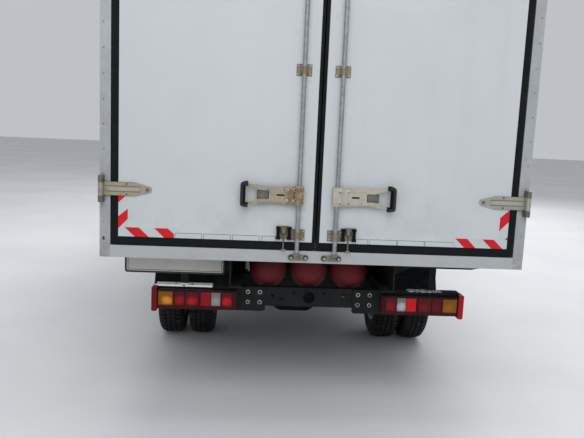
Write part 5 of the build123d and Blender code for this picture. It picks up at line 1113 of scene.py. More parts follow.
class Leaf:
    """One rear door: where its small pieces sit and the body they swing with."""

    def __init__(self, side, name):
        self.side = side
        self.name = name
        self.body = f"rear_leaf_{name}"
        self.fittings = f"door_fittings_{name}"

    def face(self, x, z):
        """The rearmost point of the fittings at a distance from the middle and a height."""
        return from_behind(self.fittings, self.side * x, z)

    def block(self, name, xs, ys, zs, rounding, segments=2):
        return block(f"{name}_{self.name}", xs, ys, zs, rounding, segments, self.side)

    def spread(self, name, pattern, seats):
        """Sets a pattern on (x, z) seats on the rear of the fittings."""
        return scatter(f"{name}_{self.name}", pattern, [(self.face(*seat), REARWARD) for seat in seats])

    def fit(self, piece, material, slot="zinc_fittings"):
        dress(piece, material, self.body)

    def rivet(self, name, radius, height, seats, material):
        self.fit(smooth(self.spread(name, rivet_pattern(radius, height), seats)), material)


def pairs(xs, heights, rise):
    """Seats above and below each height."""
    return [(x, z + shift) for z in heights for x in xs for shift in (-rise, rise)]


class TRUCK_OT_door_details(bpy.types.Operator):
    """Adds rivets, bolts, catch pads and catch rods to the rear doors"""

    bl_idname = "truck.door_details"
    bl_label = "Rear door details"

    # Distances of the rivets and bolts of handles, hinges and guides from the middle of the truck
    handle_rivets = {"left": (0.1205, 0.157), "right": (0.108, 0.153)}
    hinge_rivet_x, hinge_bolt_x = 0.955, 0.853
    guide_rivets = (0.065, 0.127)

    def execute(self, context):
        size = sizes().rivet_radius
        bright = zinc_finish("bright_zinc", (0.74, 0.74, 0.72), (0.58, 0.58, 0.56))
        worn = zinc_finish("worn_zinc", (0.42, 0.40, 0.33), (0.34, 0.335, 0.30))
        dull = zinc_finish("dull_zinc", (0.20, 0.18, 0.13), (0.13, 0.125, 0.105))
        # Black rubber, also used for black pieces that stand for shade in the rivet holes, the latch pocket
        # and the key slot
        black = rubber_finish("catch_rubber", (0.0028, 0.0036, 0.0044), 0.05)
        for side, side_name in SIDES:
            leaf = Leaf(side, side_name)
            on_handle = pairs(self.handle_rivets[side_name], (HANDLE_Z,), 0.028)
            on_hinges = pairs((self.hinge_rivet_x,), HINGE_ZS, 0.026)
            on_guides = pairs(self.guide_rivets, GUIDE_ZS, 0.020)
            bolt_seats = [(self.hinge_bolt_x, hinge_z) for hinge_z in HINGE_ZS]
            leaf.rivet("handle_rivets", size * 2.1, size * 1.3, on_handle, bright)
            # Black pins fill the handle rivets' holes, black as the shade inside them
            pin = disc("pin_pattern", (0, 0, 0), UPWARD, size * 0.8, size * 1.22, 12)
            leaf.fit(leaf.spread("rivet_pins", pin, on_handle), black)
            leaf.rivet("hinge_rivets", size * 1.2, size * 0.8, on_hinges, dull)
            leaf.fit(leaf.spread("hinge_bolts", bolt_pattern(size * 1.7), bolt_seats), dull)
            leaf.rivet("guide_rivets", size * 0.8, size * 0.7, on_guides, bright)
            self.catch(leaf, black, dull)
            self.handle(leaf, black, dull)
            self.keeper(leaf, worn, dull)
        return {"FINISHED"}

    # The catch: its height, its pads' edges, the heights of their bodies and lips, and the rod between them
    catch_z = 1.046
    pad_xs = ((0.1285, 0.1455), (0.1845, 0.2015))
    pad_zs, lip_zs = (1.020, 1.072), ((1.013, 1.026), (1.066, 1.079))
    rod_x, rod_zs = 0.165, (1.070, 1.020, 0.990, 0.958)

    def catch(self, leaf, black, dull):
        """The retainer below the handle: notched rubber pads each side of a sprung rod that hangs down."""
        pads = []
        for inner, outer in self.pad_xs:
            face = leaf.face((inner + outer) / 2, self.catch_z).y
            for zs in self.lip_zs:
                ys = (face - 0.004, face + 0.006)
                pads.append(leaf.block("pad", (inner - 0.003, outer + 0.003), ys, zs, 0.0015))
            ys = (face - 0.0025, face + 0.006)
            pads.append(leaf.block("pad", (inner, outer), ys, self.pad_zs, 0.0015))
        leaf.fit(join(f"catch_pads_{leaf.name}", pads), black, "seal_rubber")
        x, y = leaf.side * self.rod_x, leaf.face(self.rod_x, 1.04).y - 0.008
        saddle = block("catch_saddle", (x - 0.014, x + 0.014), (y - 0.004, y + 0.008), (1.040, 1.074), 0.003)
        inset(saddle, REARWARD, (0.006, 0.003))
        rod = tube("catch_rod", [(x, y, z) for z in self.rod_zs], 0.0042)
        foot = tube("catch_foot", [(x + reach, y, self.rod_zs[-1]) for reach in (-0.011, 0.011)], 0.0048)
        leaf.fit(smooth(join(f"catch_rod_{leaf.name}", [saddle, rod, foot])), dull)

    # Half of the grip's run, as (distance from the middle, rise above the handle), and the sleeve's depth
    # each side of it
    grip_run = [(0.352, 0.0535), (0.366, 0.0535), (0.3735, 0.0505), (0.3765, 0.043)]
    grip_depth = 0.0211

    def handle(self, leaf, black, dull):
        """The tab of the latch on a black sheet that stands for the shade of its pocket, the lock body behind
        the key slot, black as the shade seen through the slot, and the sleeve on the grip.
        """
        y = leaf.face(0.22, HANDLE_Z).y
        tab = leaf.block("latch_tab", (0.250, 0.305), (y - 0.006, y + 0.003), (1.222, 1.256), 0.002)
        leaf.fit(inset(tab, REARWARD, (0.005, -0.0015)), dull)
        # A black sheet behind the tab: painted shade of the pocket it sits in
        pocket_shade = leaf.block("latch_gap", (0.2475, 0.3070), (y - 0.0006, y + 0.002), (1.219, 1.259), 0.0004, 1)
        leaf.fit(pocket_shade, black, "trim_black")
        # The lock body, black as the shade seen through the key slot
        lock = leaf.block("lock_body", (0.170, 0.210), (y + 0.0035, y + 0.018), (1.229, 1.249), 0.002)
        leaf.fit(lock, black, "trim_black")
        centre_y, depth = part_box(leaf.fittings)[0][1] + 0.0212, self.grip_depth
        run = self.grip_run + [(x, -rise) for x, rise in reversed(self.grip_run)]
        points = [(leaf.side * x, centre_y, HANDLE_Z + rise) for x, rise in run]
        sleeve = tube(f"grip_sleeve_{leaf.name}", points, 0.0125, 16)
        for vertex in sleeve.data.vertices:
            vertex.co.y = centre_y + max(-depth, min(depth, (vertex.co.y - centre_y) * 1.9))
        leaf.fit(smooth(sleeve, 50), black, "seal_rubber")

    def keeper(self, leaf, worn, dull):
        """The two bolts of the keeper on the sill, and the claw at the bar's foot that locks into it."""
        places = []
        for x in (KEEPER_X - KEEPER_BOLT_REACH, KEEPER_X + KEEPER_BOLT_REACH):
            places.append((from_behind("door_brackets", leaf.side * x, KEEPER_Z), REARWARD))
        bolts = scatter(f"keeper_bolts_{leaf.name}", bolt_pattern(0.0062), places)
        dress(bolts, worn, "chassis")
        y = leaf.face(BAR_X, 0.96).y
        claw = leaf.block("bar_claw", (0.080, 0.114), (y - 0.0035, y + 0.009), (0.9315, 0.947), 0.004, 3)
        leaf.fit(smooth(inset(claw, REARWARD, (0.003, -0.002))), dull)


# Box and beam


class TRUCK_OT_splash_strips(bpy.types.Operator):
    """Hangs a rubber strip inboard of each mudflap, as far as the spring"""

    bl_idname = "truck.splash_strips"
    bl_label = "Splash strips"

    # Distance of the mudflap's inner edge from the middle of the truck, and the strip's bottom and top
    flap_inner_x = 0.571
    strip_zs = (0.385, 0.700)

    def execute(self, context):
        xs = (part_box("leaf_springs")[1][0] + 0.006, self.flap_inner_x + 0.004)
        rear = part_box("mudguards")[0][1]
        strips = []
        for side, _ in SIDES:
            strip = block("strip", xs, (rear + 0.0005, rear + 0.005), self.strip_zs, 0.0015, side=side)
            strips.append(inset(strip, REARWARD, (0.006, -0.001)))
        rubber = rubber_finish("strip_rubber", (0.0036, 0.0045, 0.0050), 0.14)
        dress(join("splash_strips", strips), rubber, "chassis")
        return {"FINISHED"}


class TRUCK_OT_body_rivets(bpy.types.Operator):
    """Rivets the corner posts, the roof trims and the door frame of the insulated box"""

    bl_idname = "truck.body_rivets"
    bl_label = "Box rivets"

    # Up the posts: count, lowest height and pitch; along the trims: count, gap to the ends and to the edge
    post_count, lowest_z, post_pitch = 16, 0.945, 0.122
    trim_count, end_gap, edge_gap = 22, 0.08, 0.030

    def execute(self, context):
        size = sizes().rivet_radius
        low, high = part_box("corner_trims")
        pitch = (high[1] - low[1] - 2 * self.end_gap) / (self.trim_count - 1)
        post_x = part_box("rear_frame")[1][0] - 0.018
        places = []
        for side, _ in SIDES:
            for step in range(self.post_count):
                z = self.lowest_z + step * self.post_pitch
                places.append((from_behind("rear_frame", side * post_x, z), REARWARD))
            for z in (high[2] - self.edge_gap, low[2] + self.edge_gap):
                for step in range(self.trim_count):
                    y = low[1] + self.end_gap + step * pitch
                    places.append(from_outside("corner_trims", side, y, z))
        rivets = scatter("box_rivets", rivet_pattern(size * 1.1, size * 0.6), places)
        grey = zinc_finish("rivet_grey", (0.36, 0.36, 0.35), (0.26, 0.26, 0.25))
        dress(smooth(rivets), grey, "chassis")
        return {"FINISHED"}


class TRUCK_OT_beam_details(bpy.types.Operator):
    """Bolts the lamp brackets to the rear beam and adds its small tube"""

    bl_idname = "truck.beam_details"
    bl_label = "Rear beam details"

    # Distances of the lamp brackets' bolts from the middle of the truck, and their heights
    bolt_xs, bolt_zs = (0.271, 0.336), (0.615, 0.672)

    def execute(self, context):
        half = sizes().bolt_radius
        seats = [(side * x, z) for side, _ in SIDES for x in self.bolt_xs for z in self.bolt_zs]
        places = [(from_behind("rear_beam", *seat), REARWARD) for seat in seats]
        washer = disc("washer_pattern", (0, 0, 0), UPWARD, half * 1.5, half * 0.3, 24, half * 0.1)
        inset(washer, UPWARD, (half * 0.45, -half * 0.08))
        pale = zinc_finish("pale_zinc", (0.46, 0.48, 0.49), (0.16, 0.165, 0.17))
        dress(smooth(scatter("beam_washers", washer, places)), pale, "chassis")
        heads = scatter("beam_bolts", bolt_pattern(half * 0.75), places)
        dress(heads, chassis_finish("bolt_black", 0.6), "chassis")
        foot = (0.196, from_behind("rear_beam", 0.22, 0.61).y - 0.008, 0.628)
        drain = disc("beam_drain_tube", foot, UPWARD, 0.008, 0.044, 16, 0.001)
        press(drain, lambda face: abs(face.normal.z) > 0.9, (0.0025, -0.004))
        dress(smooth(drain), chassis_finish("tube_black", 0.5), "chassis")
        return {"FINISHED"}


# Wheels


def turn_ring(name, profile, steps):
    """A closed ring turned about the X axis from a closed (x, radius) profile."""
    corners = [(x, 0, radius) for x, radius in profile]
    links = [(i, (i + 1) % len(corners)) for i in range(len(corners))]
    ring = raw_mesh(name, corners, links, [])
    bpy.ops.mesh.spin(steps=steps, angle=math.tau, center=(0, 0, 0), axis=(1, 0, 0))
    bpy.ops.mesh.select_all(action="SELECT")
    bpy.ops.mesh.remove_doubles(threshold=0.00005)
    face_outwards()
    return ring


def sink(piece, chosen, depth):
    """Presses the chosen faces into a piece by depth, with sloping sides."""
    pick(piece, "FACE", chosen)
    bpy.ops.mesh.extrude_region_shrink_fatten(TRANSFORM_OT_shrink_fatten={"value": -depth})
    close_edit()


class TRUCK_OT_tyres(bpy.types.Operator):
    """Makes the treaded tyres and puts them in place of the plain ones"""

    bl_idname = "truck.tyres"
    bl_label = "Treaded tyres"

    # Half of the section, as (distance from the middle, distance below the crown), from crown to bead
    half_section = (
        ((0.0052, 0.0), (0.0300, 0.0008), (0.0380, 0.0012), (0.0600, 0.0040), (0.0690, 0.0085))
        + ((0.0765, 0.0180), (0.0800, 0.0240), (0.0850, 0.0300), (0.0862, 0.0350), (0.0852, 0.0365))
        + ((0.0895, 0.0500), (0.0918, 0.0660), (0.0905, 0.0820), (0.0860, 0.0960), (0.0870, 0.0985))
        + ((0.0850, 0.1020), (0.0790, 0.1160), (0.0735, 0.1260), (0.0725, 0.1340), (0.0650, 0.1388))
    )

    def execute(self, context):
        finish = tyre_finish()
        low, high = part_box("tyre_front_left")
        radius, width = (high[2] - low[2]) / 2, high[0] - low[0]
        pattern = self.tyre(radius, sizes().tread_pitches * 3)
        for stem, wheel in (("tyre_front", "front_wheel"), ("tyres_rear", "rear_wheels")):
            for _, side_name in SIDES:
                node = f"{stem}_{side_name}"
                low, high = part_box(node)
                spare = (high[0] - low[0] - width) / 2
                offsets = (-spare, spare) if spare > width / 4 else (0.0,)
                centres = [middle(node) + Vector((offset, 0, 0)) for offset in offsets]
                rings = [copy_of(pattern, "ring", Matrix.Translation(centre)) for centre in centres]
                piece = join(f"treaded_{node}", rings)
                dress(piece, finish, f"{wheel}_{side_name}")
                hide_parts(node)
        discard(pattern)
        return {"FINISHED"}

    def tyre(self, radius, steps):
        """Turns the section and presses the grooves, the gaps of the shoulders and the sipes into it."""
        half = [(x, radius - drop) for x, drop in self.half_section]
        pattern = turn_ring("tyre_pattern", [(-x, r) for x, r in reversed(half)] + half, steps)
        pitch = math.tau / steps

        def drop(face):
            return radius - math.hypot(face.center.y, face.center.z)

        def turn(face):
            return round(math.atan2(face.center.z, face.center.y) / pitch - 0.5) % 3

        def groove(face):
            across = abs(face.center.x)
            return drop(face) < 0.007 and (across < 0.005 or 0.030 < across < 0.038)

        def shoulder(face):
            return drop(face) < 0.016 and 0.040 < abs(face.center.x) < 0.078 and turn(face) == 0

        def sipe(face):
            return drop(face) < 0.007 and 0.006 < abs(face.center.x) < 0.029 and turn(face) == 2

        for chosen, depth in ((groove, 0.009), (shoulder, 0.007), (sipe, 0.0025)):
            sink(pattern, chosen, depth)
        return smooth(pattern, 30)


class TRUCK_OT_wheel_nuts(bpy.types.Operator):
    """Adds the wheel nuts and the valve of each wheel"""

    bl_idname = "truck.wheel_nuts"
    bl_label = "Wheel nuts and valves"

    # The nuts' count, circle and size, the valve's distance from the hub, and its run outwards from the rim
    nut_count, nut_circle, nut_size = 6, 0.085, 0.0135
    valve_circle = 0.182
    valve_run = ((0, 0, 0), (0.020, 0, -0.004), (0.036, 0, -0.012))

    def execute(self, context):
        steel = zinc_finish("nut_steel", (0.30, 0.29, 0.27), (0.20, 0.19, 0.18))
        rubber = rubber_finish("valve_rubber")
        for stem, wheel in (("rim_front", "front_wheel"), ("rims_rear", "rear_wheels")):
            for side, side_name in SIDES:
                node, body = f"{stem}_{side_name}", f"{wheel}_{side_name}"
                hub = middle(node)
                places = []
                for angle in around(self.nut_count, 0.5):
                    y, z = (self.nut_circle * part for part in (math.cos(angle), math.sin(angle)))
                    places.append((from_outside(node, side, hub.y + y, hub.z + z)[0], (side, 0, 0)))
                nuts = scatter(f"wheel_nuts_{node}", bolt_pattern(self.nut_size, washer=True), places)
                dress(nuts, steel, body)
                foot = from_outside(node, side, hub.y, hub.z + self.valve_circle)[0]
                run = [foot + Vector((side * x, y, z)) for x, y, z in self.valve_run]
                dress(smooth(tube(f"valve_{node}", run, 0.0045, 12)), rubber, body)
        return {"FINISHED"}


# Cab


class TRUCK_OT_wipers(bpy.types.Operator):
    """Puts two wipers on the windscreen"""

    bl_idname = "truck.wipers"
    bl_label = "Windscreen wipers"

    # Pivot (x, height) and the blade's two ends (x, height), seen from ahead
    reach = (
        ((0.46, 1.292), (0.16, 1.372), (0.66, 1.400)),
        ((-0.10, 1.292), (-0.48, 1.372), (0.04, 1.400)),
    )

    def execute(self, context):
        finish = plastic_finish("wiper_black", (0.012, 0.012, 0.013))
        for number, (pivot, start, end) in enumerate(self.reach):
            foot, facing = from_ahead("cab_shell", *pivot)
            near, outward = from_ahead("cab_glass", *start)
            lift = outward * 0.012
            near, far = near + lift, from_ahead("cab_glass", *end)[0] + lift
            centre = (near + far) / 2
            blade = tube("wiper_blade", [near, far], 0.006, 8)
            bridge_run = [near.lerp(far, 0.2) + lift, centre + lift * 1.4, near.lerp(far, 0.8) + lift]
            bridge = tube("wiper_bridge", bridge_run, 0.004, 8)
            arm_run = [foot + facing * 0.012, foot.lerp(centre, 0.2) + lift * 2.6, centre + lift * 1.6]
            arm = tube("wiper_arm", arm_run, 0.0055, 8)
            cap = disc("wiper_pivot", foot - facing * 0.004, facing, 0.017, 0.024, 20, 0.004)
            wiper = join(f"wiper_{number + 1}", [blade, bridge, arm, cap])
            dress(smooth(wiper), finish, "chassis")
        return {"FINISHED"}


class TRUCK_OT_mirror_glass(bpy.types.Operator):
    """Fits the mirror glasses and the indicator lenses on the wings"""

    bl_idname = "truck.mirror_glass"
    bl_label = "Mirror glasses and wing lamps"

    # Inner and outer edge of both glasses, and the (bottom, top) of the flat and the wide-angle one
    glass_xs = (1.074, 1.216)
    glass_zs = {"main": (1.380, 1.566), "wide": (1.314, 1.370)}
    # The indicator's place along the wing and its height
    wing_lamp_place = (1.905, 0.93)

    def execute(self, context):
        silver = mirror_finish()
        amber = tape_finish("indicator_amber", (0.60, 0.20, 0.02))
        for side, side_name in SIDES:
            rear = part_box(f"mirror_{side_name}")[0][1]
            for part, zs in self.glass_zs.items():
                ys = (rear - 0.002, rear + 0.004)
                glass = block(f"mirror_glass_{part}_{side_name}", self.glass_xs, ys, zs, side=side)
                pick_facing(glass, REARWARD)
                bevel(0.0015, 2)
                dress(smooth(glass), silver, f"side_door_{side_name}")
            lens = block("wing_lamp", (-0.034, 0.034), (-0.014, 0.014), (0.0, 0.009), 0.004, 3)
            place = turned(*from_outside("cab_shell", side, *self.wing_lamp_place))
            place = place @ Matrix.Rotation(math.pi / 2, 4, "Z")
            lamp = copy_of(lens, f"wing_lamp_{side_name}_fitted", place)
            discard(lens)
            dress(smooth(lamp), amber, "chassis")
        return {"FINISHED"}


# How square a cushion's outline is, and how much of its height is crown
SQUARENESS = 7.0
CROWN = 0.26


def cushion(name, size, place, channels):
    """A crowned pad: edges drawn in between its corners, with sewn channels across its upper face."""
    half = [extent / 2 for extent in size]
    piece = block(name, *((-h, h) for h in half))
    open_edit()
    bpy.ops.mesh.subdivide(number_cuts=29)
    close_edit()
    for vertex in piece.data.vertices:
        u, v, w = (co / h for co, h in zip(vertex.co, half))
        spread = sum(abs(value) ** SQUARENESS for value in (u, v, w)) ** (1 / SQUARENESS)
        u, v, w = (value / spread for value in (u, v, w))
        w *= 1 - CROWN + CROWN * (1 - u**4) * (1 - v**4)
        if w > 0:
            w -= sum(0.16 * math.exp(-(((v - at) / 0.035) ** 2)) for at in channels) * (1 - u**8)
        u *= 1 - 0.025 * (1 - v**2) * (1 - abs(w))
        v *= 1 - 0.025 * (1 - u**2) * (1 - abs(w))
        vertex.co = (u * half[0], v * half[1], w * half[2])
    piece.data.transform(place)
    return smooth(piece, 60)


def piping(name, size, place):
    """The corded seam that runs round the edge of a cushion."""
    half_x, half_y, seam_z = size[0] / 2 * 0.985, size[1] / 2 * 0.985, size[2] * 0.13
    run = []
    for angle in around(72):
        c, s = math.cos(angle), math.sin(angle)
        reach = (abs(c) ** SQUARENESS + abs(s) ** SQUARENESS) ** (-1 / SQUARENESS)
        run.append((c * reach * half_x, s * reach * half_y, seam_z))
    piece = tube(name, run, 0.004, 8, cyclic=True)
    piece.data.transform(place)
    return smooth(piece, 60)


class TRUCK_OT_seats(bpy.types.Operator):
    """Upholsters the driver's seat and the double seat in place of the plain ones"""

    bl_idname = "truck.seats"
    bl_label = "Padded seats"

    # Seat middle, half width and the head restraints' distances from the middle
    seats = (("driver", -0.48, 0.25, (0.0,)), ("bench", 0.37, 0.48, (-0.23, 0.23)))
    # Sizes of cushions, backs and head restraints, the heights of their middles and the backs' lean
    cushion_length, cushion_height, cushion_z = 0.52, 0.136, 1.020
    back_length, back_depth, back_z = 0.61, 0.106, 1.370
    back_lean = math.radians(12)
    restraint_size = (0.235, 0.165, 0.066)

    def execute(self, context):
        cloth, cord = fabric_finish(), fabric_finish("seat_piping", 60.0)
        black = plastic_finish("seat_plinth", (0.035, 0.036, 0.038))
        steel = zinc_finish("restraint_posts", (0.34, 0.34, 0.34), (0.25, 0.25, 0.25))
        low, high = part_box("seats")
        front, back_y = high[1], high[1] - 0.515
        cushion_y = front - self.cushion_length / 2 - 0.003
        tilt = Matrix.Rotation(math.pi / 2 + self.back_lean, 4, "X")
        for name, x, half, heads in self.seats:
            xs, ys = (x - half + 0.045, x + half - 0.045), (front - 0.50, front - 0.06)
            self.plinth(f"plinth_{name}", xs, ys, (low[2], 0.955), black)
            pad_half = half / len(heads)
            width = 2 * pad_half - 0.006
            for number in range(len(heads)):
                tag = f"{name}_{number + 1}"
                pad_x = x - half + pad_half * (2 * number + 1)
                size = (width, self.cushion_length, self.cushion_height)
                place = Matrix.Translation((pad_x, cushion_y, self.cushion_z))
                self.pad(f"seat_cushion_{tag}", size, place, (-0.45, 0.0, 0.45), cloth)
                self.seam(f"cushion_piping_{tag}", size, place, cord)
                size = (width, self.back_length, self.back_depth)
                place = Matrix.Translation((pad_x, back_y, self.back_z)) @ tilt
                self.pad(f"seat_back_{tag}", size, place, (-0.5, -0.1, 0.3), cloth)
                self.seam(f"back_piping_{tag}", size, place, cord)
            for number, head in enumerate(heads):
                tag = f"{name}_{number + 1}"
                up = Matrix.Translation((x + head, back_y, self.back_z)) @ tilt
                rest = up @ Matrix.Translation((0, 0.390, 0))
                self.pad(f"head_restraint_{tag}", self.restraint_size, rest, (), cloth)
                posts = []
                for across in (-0.06, 0.06):
                    run = [up @ Vector((across, along, 0)) for along in (0.285, 0.335)]
                    posts.append(tube("post", run, 0.006, 12))
                dress(smooth(join(f"restraint_posts_{tag}", posts)), steel, "chassis")
        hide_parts("seats")
        return {"FINISHED"}

    def plinth(self, name, xs, ys, zs, finish):
        """The box under a seat, with its four walls pressed in as one band."""
        box = block(name, xs, ys, zs, 0.01)
        press(box, lambda face: max(abs(face.normal.x), abs(face.normal.y)) > 0.9, (0.018, -0.004))
        return dress(box, finish, "chassis")

    def pad(self, name, size, place, channels, cloth):
        piece = dress(cushion(name, size, place, channels), cloth, "chassis")

    def seam(self, name, size, place, cord):
        dress(piping(name, size, place), cord, "chassis")


class TRUCK_OT_cab_controls(bpy.types.Operator):
    """Adds the instrument hood, vents, gear lever and pedals inside the cab"""

    bl_idname = "truck.cab_controls"
    bl_label = "Cab controls"

    # Top of the facia, middles of the vents and the gear lever's place on the floor
    facia_top = 1.190
    vent_xs, vent_z = (-0.80, -0.12, 0.12, 0.80), 1.11
    lever_foot = (-0.06, 1.60, 0.775)
    # Middle and width of the clutch, brake and accelerator pedals
    pedal_places = ((-0.60, 0.06), (-0.49, 0.06), (-0.38, 0.045))

    def execute(self, context):
        facia = plastic_finish("facia_trim", (0.03, 0.031, 0.033))
        soft = plastic_finish("facia_dark", (0.014, 0.014, 0.015), 500.0)
        zs = (self.facia_top - 0.006, self.facia_top + 0.055)
        hood = block("instrument_hood", (-0.63, -0.33), (1.885, 2.02), zs, 0.02, 4)
        dress(smooth(inset(hood, REARWARD, (0.010, -0.02))), facia, "chassis")
        vents = [piece for x in self.vent_xs for piece in self.vent(x)]
        dress(join("facia_vents", vents), soft, "chassis")
        dress(smooth(self.lever()), soft, "chassis")
        pedals = []
        for x, wide in self.pedal_places:
            xs = (x - wide / 2, x + wide / 2)
            pedals.append(block("pedal_pad", xs, (1.905, 1.925), (0.87, 0.94), 0.005))
            pedals.append(tube("pedal_arm", [(x, 1.92, 0.905), (x, 1.98, 1.0), (x, 2.0, 1.06)], 0.008))
        dress(smooth(join("pedals", pedals)), soft, "chassis")
        return {"FINISHED"}

    def vent(self, x):
        """An air vent on the facia: a rim with a sunk middle and three slats across it."""
        y = spot_on("dashboard", (x, 1.2, self.vent_z), (0, 1, 0))[0].y
        zs = (self.vent_z - 0.035, self.vent_z + 0.035)
        rim = block("vent_rim", (x - 0.06, x + 0.06), (y - 0.008, y), zs, 0.004)
        pieces = [inset(rim, REARWARD, (0.008, -0.005))]
        for z in (self.vent_z - 0.016, self.vent_z, self.vent_z + 0.016):
            ys, zs = (y - 0.006, y - 0.001), (z - 0.002, z + 0.002)
            pieces.append(block("vent_slat", (x - 0.05, x + 0.05), ys, zs, 0.001))
        return pieces

    def lever(self):
        """The gear lever with its knob and its boot, drawn in towards the top."""
        x, y, z = self.lever_foot
        rod = tube("gear_lever_rod", [(x, y, z), (x, 1.585, 0.90), (-0.07, 1.545, 1.03)], 0.008, 12)
        knob = disc("gear_knob", (-0.07, 1.545, 1.02), (0, -0.25, 1), 0.024, 0.05, 24, 0.012, 4)
        boot = disc("gear_boot", self.lever_foot, UPWARD, 0.07, 0.06)
        pick_facing(boot, UPWARD)
        bpy.ops.transform.resize(value=(0.35, 0.35, 1), center_override=(x, y, 0.83))
        close_edit()
        return join("gear_lever", [rod, knob, boot])


class TRUCK_OT_door_trim(bpy.types.Operator):
    """Lines the cab doors with a card, an armrest and a release lever, and gives them outside handles"""

    bl_idname = "truck.door_trim"
    bl_label = "Cab door trim"

    def execute(self, context):
        soft = plastic_finish("door_trim", (0.026, 0.027, 0.029), 300.0)
        for side, side_name in SIDES:
            door, inward = f"cab_door_{side_name}", (-side, 0, 0)
            lining = spot_on(door, (side * 0.6, 1.0, 1.0), (side, 0, 0))[0].x
            skin = from_outside(door, side, 0.79, 1.13)[0].x
            # Blocks by name, surface, start and end outwards from it, extents, rounding and segments
            card, rest, cup, lever, plate, grip = (
                block(name, (base + side * start, base + side * end), ys, zs, rounding, segments)
                for name, base, start, end, ys, zs, rounding, segments in (
                    ("door_card", lining, 0.001, -0.008, (0.69, 1.46), (0.64, 1.19), 0.003, 2),
                    ("armrest", lining, -0.005, -0.058, (0.86, 1.27), (0.925, 0.975), 0.018, 4),
                    ("lever_cup", lining, -0.009, -0.014, (1.25, 1.39), (1.045, 1.105), 0.002, 2),
                    ("release_lever", lining, -0.008, -0.024, (1.27, 1.37), (1.065, 1.085), 0.004, 2),
                    ("handle_cup", skin, -0.002, 0.005, (0.70, 0.88), (1.095, 1.165), 0.0018, 2),
                    ("door_grip", skin, 0.001, 0.019, (0.712, 0.868), (1.132, 1.156), 0.005, 3),
                )
            )
            inset(card, inward, (0.05, 0.003), (0.008, -0.002))
            inset(cup, inward, (0.006, -0.003))
            inset(plate, (side, 0, 0), (0.009, -0.003))
            lock_foot = (skin + side * 0.003, 0.905, 1.13)
            lock = disc("door_lock", lock_foot, (side, 0, 0), 0.011, 0.010, 24, 0.001)
            trim = join(f"door_trim_{side_name}", [card, rest, cup, lever, plate, grip, lock])
            dress(smooth(trim), soft, f"side_door_{side_name}")
        return {"FINISHED"}


# Refrigeration unit


class TRUCK_OT_unit_guards(bpy.types.Operator):
    """Covers the fans of the refrigeration unit with wire guards and adds its screws"""

    bl_idname = "truck.unit_guards"
    bl_label = "Fan guards"

    # The guards' rings and the reach of their spokes, and the screws of the unit's cover
    ring_count, ring_pitch, inner_radius, outer_radius = 8, 0.0185, 0.03, 0.172
    screw_xs, screw_zs = (-0.53, -0.05, 0.05, 0.53), (2.26, 2.60)

    def execute(self, context):
        wire = plastic_finish("guard_black", (0.018, 0.018, 0.019))
        for _, side_name in SIDES:
            dress(smooth(self.guard(side_name)), wire, "chassis")
        places = [from_ahead("reefer_unit", x, z) for x in self.screw_xs for z in self.screw_zs]
        screws = scatter("unit_screws", rivet_pattern(0.006, 0.003), places)
        steel = zinc_finish("screw_steel", (0.4, 0.4, 0.4), (0.3, 0.3, 0.3))
        dress(smooth(screws), steel, "chassis")
        return {"FINISHED"}

    def guard(self, side_name):
        """Rings and spokes of wire over a fan, on four feet."""
        fan, face = middle(f"condenser_fan_{side_name}"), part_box("reefer_unit")[1][1]

        def spot(radius, angle, height):
            return fan.x + radius * math.cos(angle), face + height, fan.z + radius * math.sin(angle)

        wires = []
        for number in range(self.ring_count):
            radius = self.inner_radius + number * self.ring_pitch
            run = [spot(radius, angle, 0.006) for angle in around(48)]
            wires.append(tube("guard_ring", run, 0.0018, 8, cyclic=True))
        for angle in around(8, 0.5):
            run = [spot(radius, angle, 0.0025) for radius in (self.inner_radius, self.outer_radius)]
            wires.append(tube("guard_spoke", run, 0.0024, 8))
        for angle in around(4, 0.25):
            foot = spot(self.outer_radius, angle, 0)
            wires.append(disc("guard_foot", foot, (0, 1, 0), 0.009, 0.006, 16, 0.002))
        return join(f"fan_guard_{side_name}", wires)


# Stage


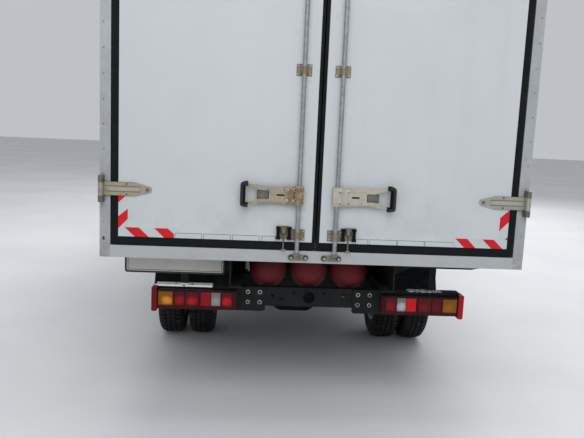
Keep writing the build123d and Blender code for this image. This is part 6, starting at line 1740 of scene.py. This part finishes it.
class TRUCK_OT_stage(bpy.types.Operator):
    """Sets the floor, the lights and the camera at the photograph's place"""

    bl_idname = "truck.stage"
    bl_label = "Floor, lights and camera"

    # Area lights, by name, place, size and power; all look at aim
    lights = (
        ("overcast_rear", (-0.5, REAR_Y - 6.2, 6.5), 7.0, 412.0),
        ("overcast_top", (0.5, 0.0, 8.0), 8.0, 420.0),
        ("overcast_front", (4.0, 7.0, 6.0), 6.0, 320.0),
    )
    aim = (0, 0, 1.2)

    # The photograph's camera, by the fit of the door frame and the plate: its place, its yaw, pitch and roll
    # in degrees, and its focal length and the picture's width in pixels
    eye = (-0.316, REAR_Y - 3.391, 1.624)
    turns = (3.231, 8.522, 2.525)
    focal_pixels, picture_width = 675.3, 584

    def execute(self, context):
        scene = context.scene
        scene.view_settings.view_transform = "Standard"
        clear_selection()
        bpy.ops.mesh.primitive_plane_add(size=60)
        floor = settle(context.object, "studio_floor")
        floor.data.materials.append(floor_finish())
        self.light(scene)
        self.camera(scene)
        return {"FINISHED"}

    def light(self, scene):
        scene.world = bpy.data.worlds.new("studio_sky")
        scene.world.use_nodes = True
        sky = scene.world.node_tree.nodes["Background"]
        sky.inputs["Color"].default_value = (0.86, 0.90, 0.95, 1.0)
        sky.inputs["Strength"].default_value = 0.60
        for name, place, size, power in self.lights:
            lamp = bpy.data.lights.new(name, "AREA")
            lamp.size = size
            lamp.energy = power
            holder = bpy.data.objects.new(name, lamp)
            holder.location = place
            holder.rotation_euler = (Vector(place) - Vector(self.aim)).to_track_quat("Z", "Y").to_euler()
            scene.collection.objects.link(holder)

    def camera(self, scene):
        yaw, pitch, roll = (math.radians(turn) for turn in self.turns)
        level = Vector((math.sin(yaw), math.cos(yaw), 0.0)) * math.cos(pitch)
        forward = level - Vector((0, 0, math.sin(pitch)))
        right = Vector((math.cos(yaw), -math.sin(yaw), 0.0))
        up = right.cross(forward)
        across = math.cos(roll) * right + math.sin(roll) * up
        upright = math.cos(roll) * up - math.sin(roll) * right
        lens = bpy.data.cameras.new("photo_camera")
        lens.sensor_width = 36.0
        lens.lens = self.focal_pixels / self.picture_width * lens.sensor_width
        lens.clip_end = 200.0
        camera = bpy.data.objects.new("photo_camera", lens)
        axes = Matrix((across, upright, -forward)).transposed().to_4x4()
        camera.matrix_world = Matrix.Translation(self.eye) @ axes
        scene.collection.objects.link(camera)
        scene.camera = camera


# Each operator in the order in which main calls it
OPERATORS = (
    TRUCK_OT_finishes,
    TRUCK_OT_marking_tape,
    TRUCK_OT_number_plate,
    TRUCK_OT_door_details,
    TRUCK_OT_body_rivets,
    TRUCK_OT_beam_details,
    TRUCK_OT_splash_strips,
    TRUCK_OT_tyres,
    TRUCK_OT_wheel_nuts,
    TRUCK_OT_wipers,
    TRUCK_OT_mirror_glass,
    TRUCK_OT_seats,
    TRUCK_OT_cab_controls,
    TRUCK_OT_door_trim,
    TRUCK_OT_unit_guards,
    TRUCK_OT_stage,
)


class TRUCK_PT_panel(bpy.types.Panel):
    """Lists the truck's sizes, colours and pieces"""

    bl_label = "Refrigerated truck"
    bl_space_type = "VIEW_3D"
    bl_region_type = "UI"
    bl_category = "Truck"

    def draw(self, context):
        for group in (context.scene.truck_sizes, context.scene.truck_finishes):
            box = self.layout.box()
            for field in group.__annotations__:
                box.prop(group, field)
        for operator in OPERATORS:
            self.layout.operator(operator.bl_idname)


CLASSES = (TruckSizes, TruckFinishes, *OPERATORS, TRUCK_PT_panel)


def register():
    for kind in CLASSES:
        bpy.utils.register_class(kind)
    bpy.types.Scene.truck_sizes = PointerProperty(type=TruckSizes)
    bpy.types.Scene.truck_finishes = PointerProperty(type=TruckFinishes)


def unregister():
    del bpy.types.Scene.truck_finishes
    del bpy.types.Scene.truck_sizes
    for kind in reversed(CLASSES):
        bpy.utils.unregister_class(kind)


def main():
    register()
    for operator in OPERATORS:
        getattr(bpy.ops.truck, operator.bl_idname.split(".")[1])()


if __name__ == "__main__":
    main()
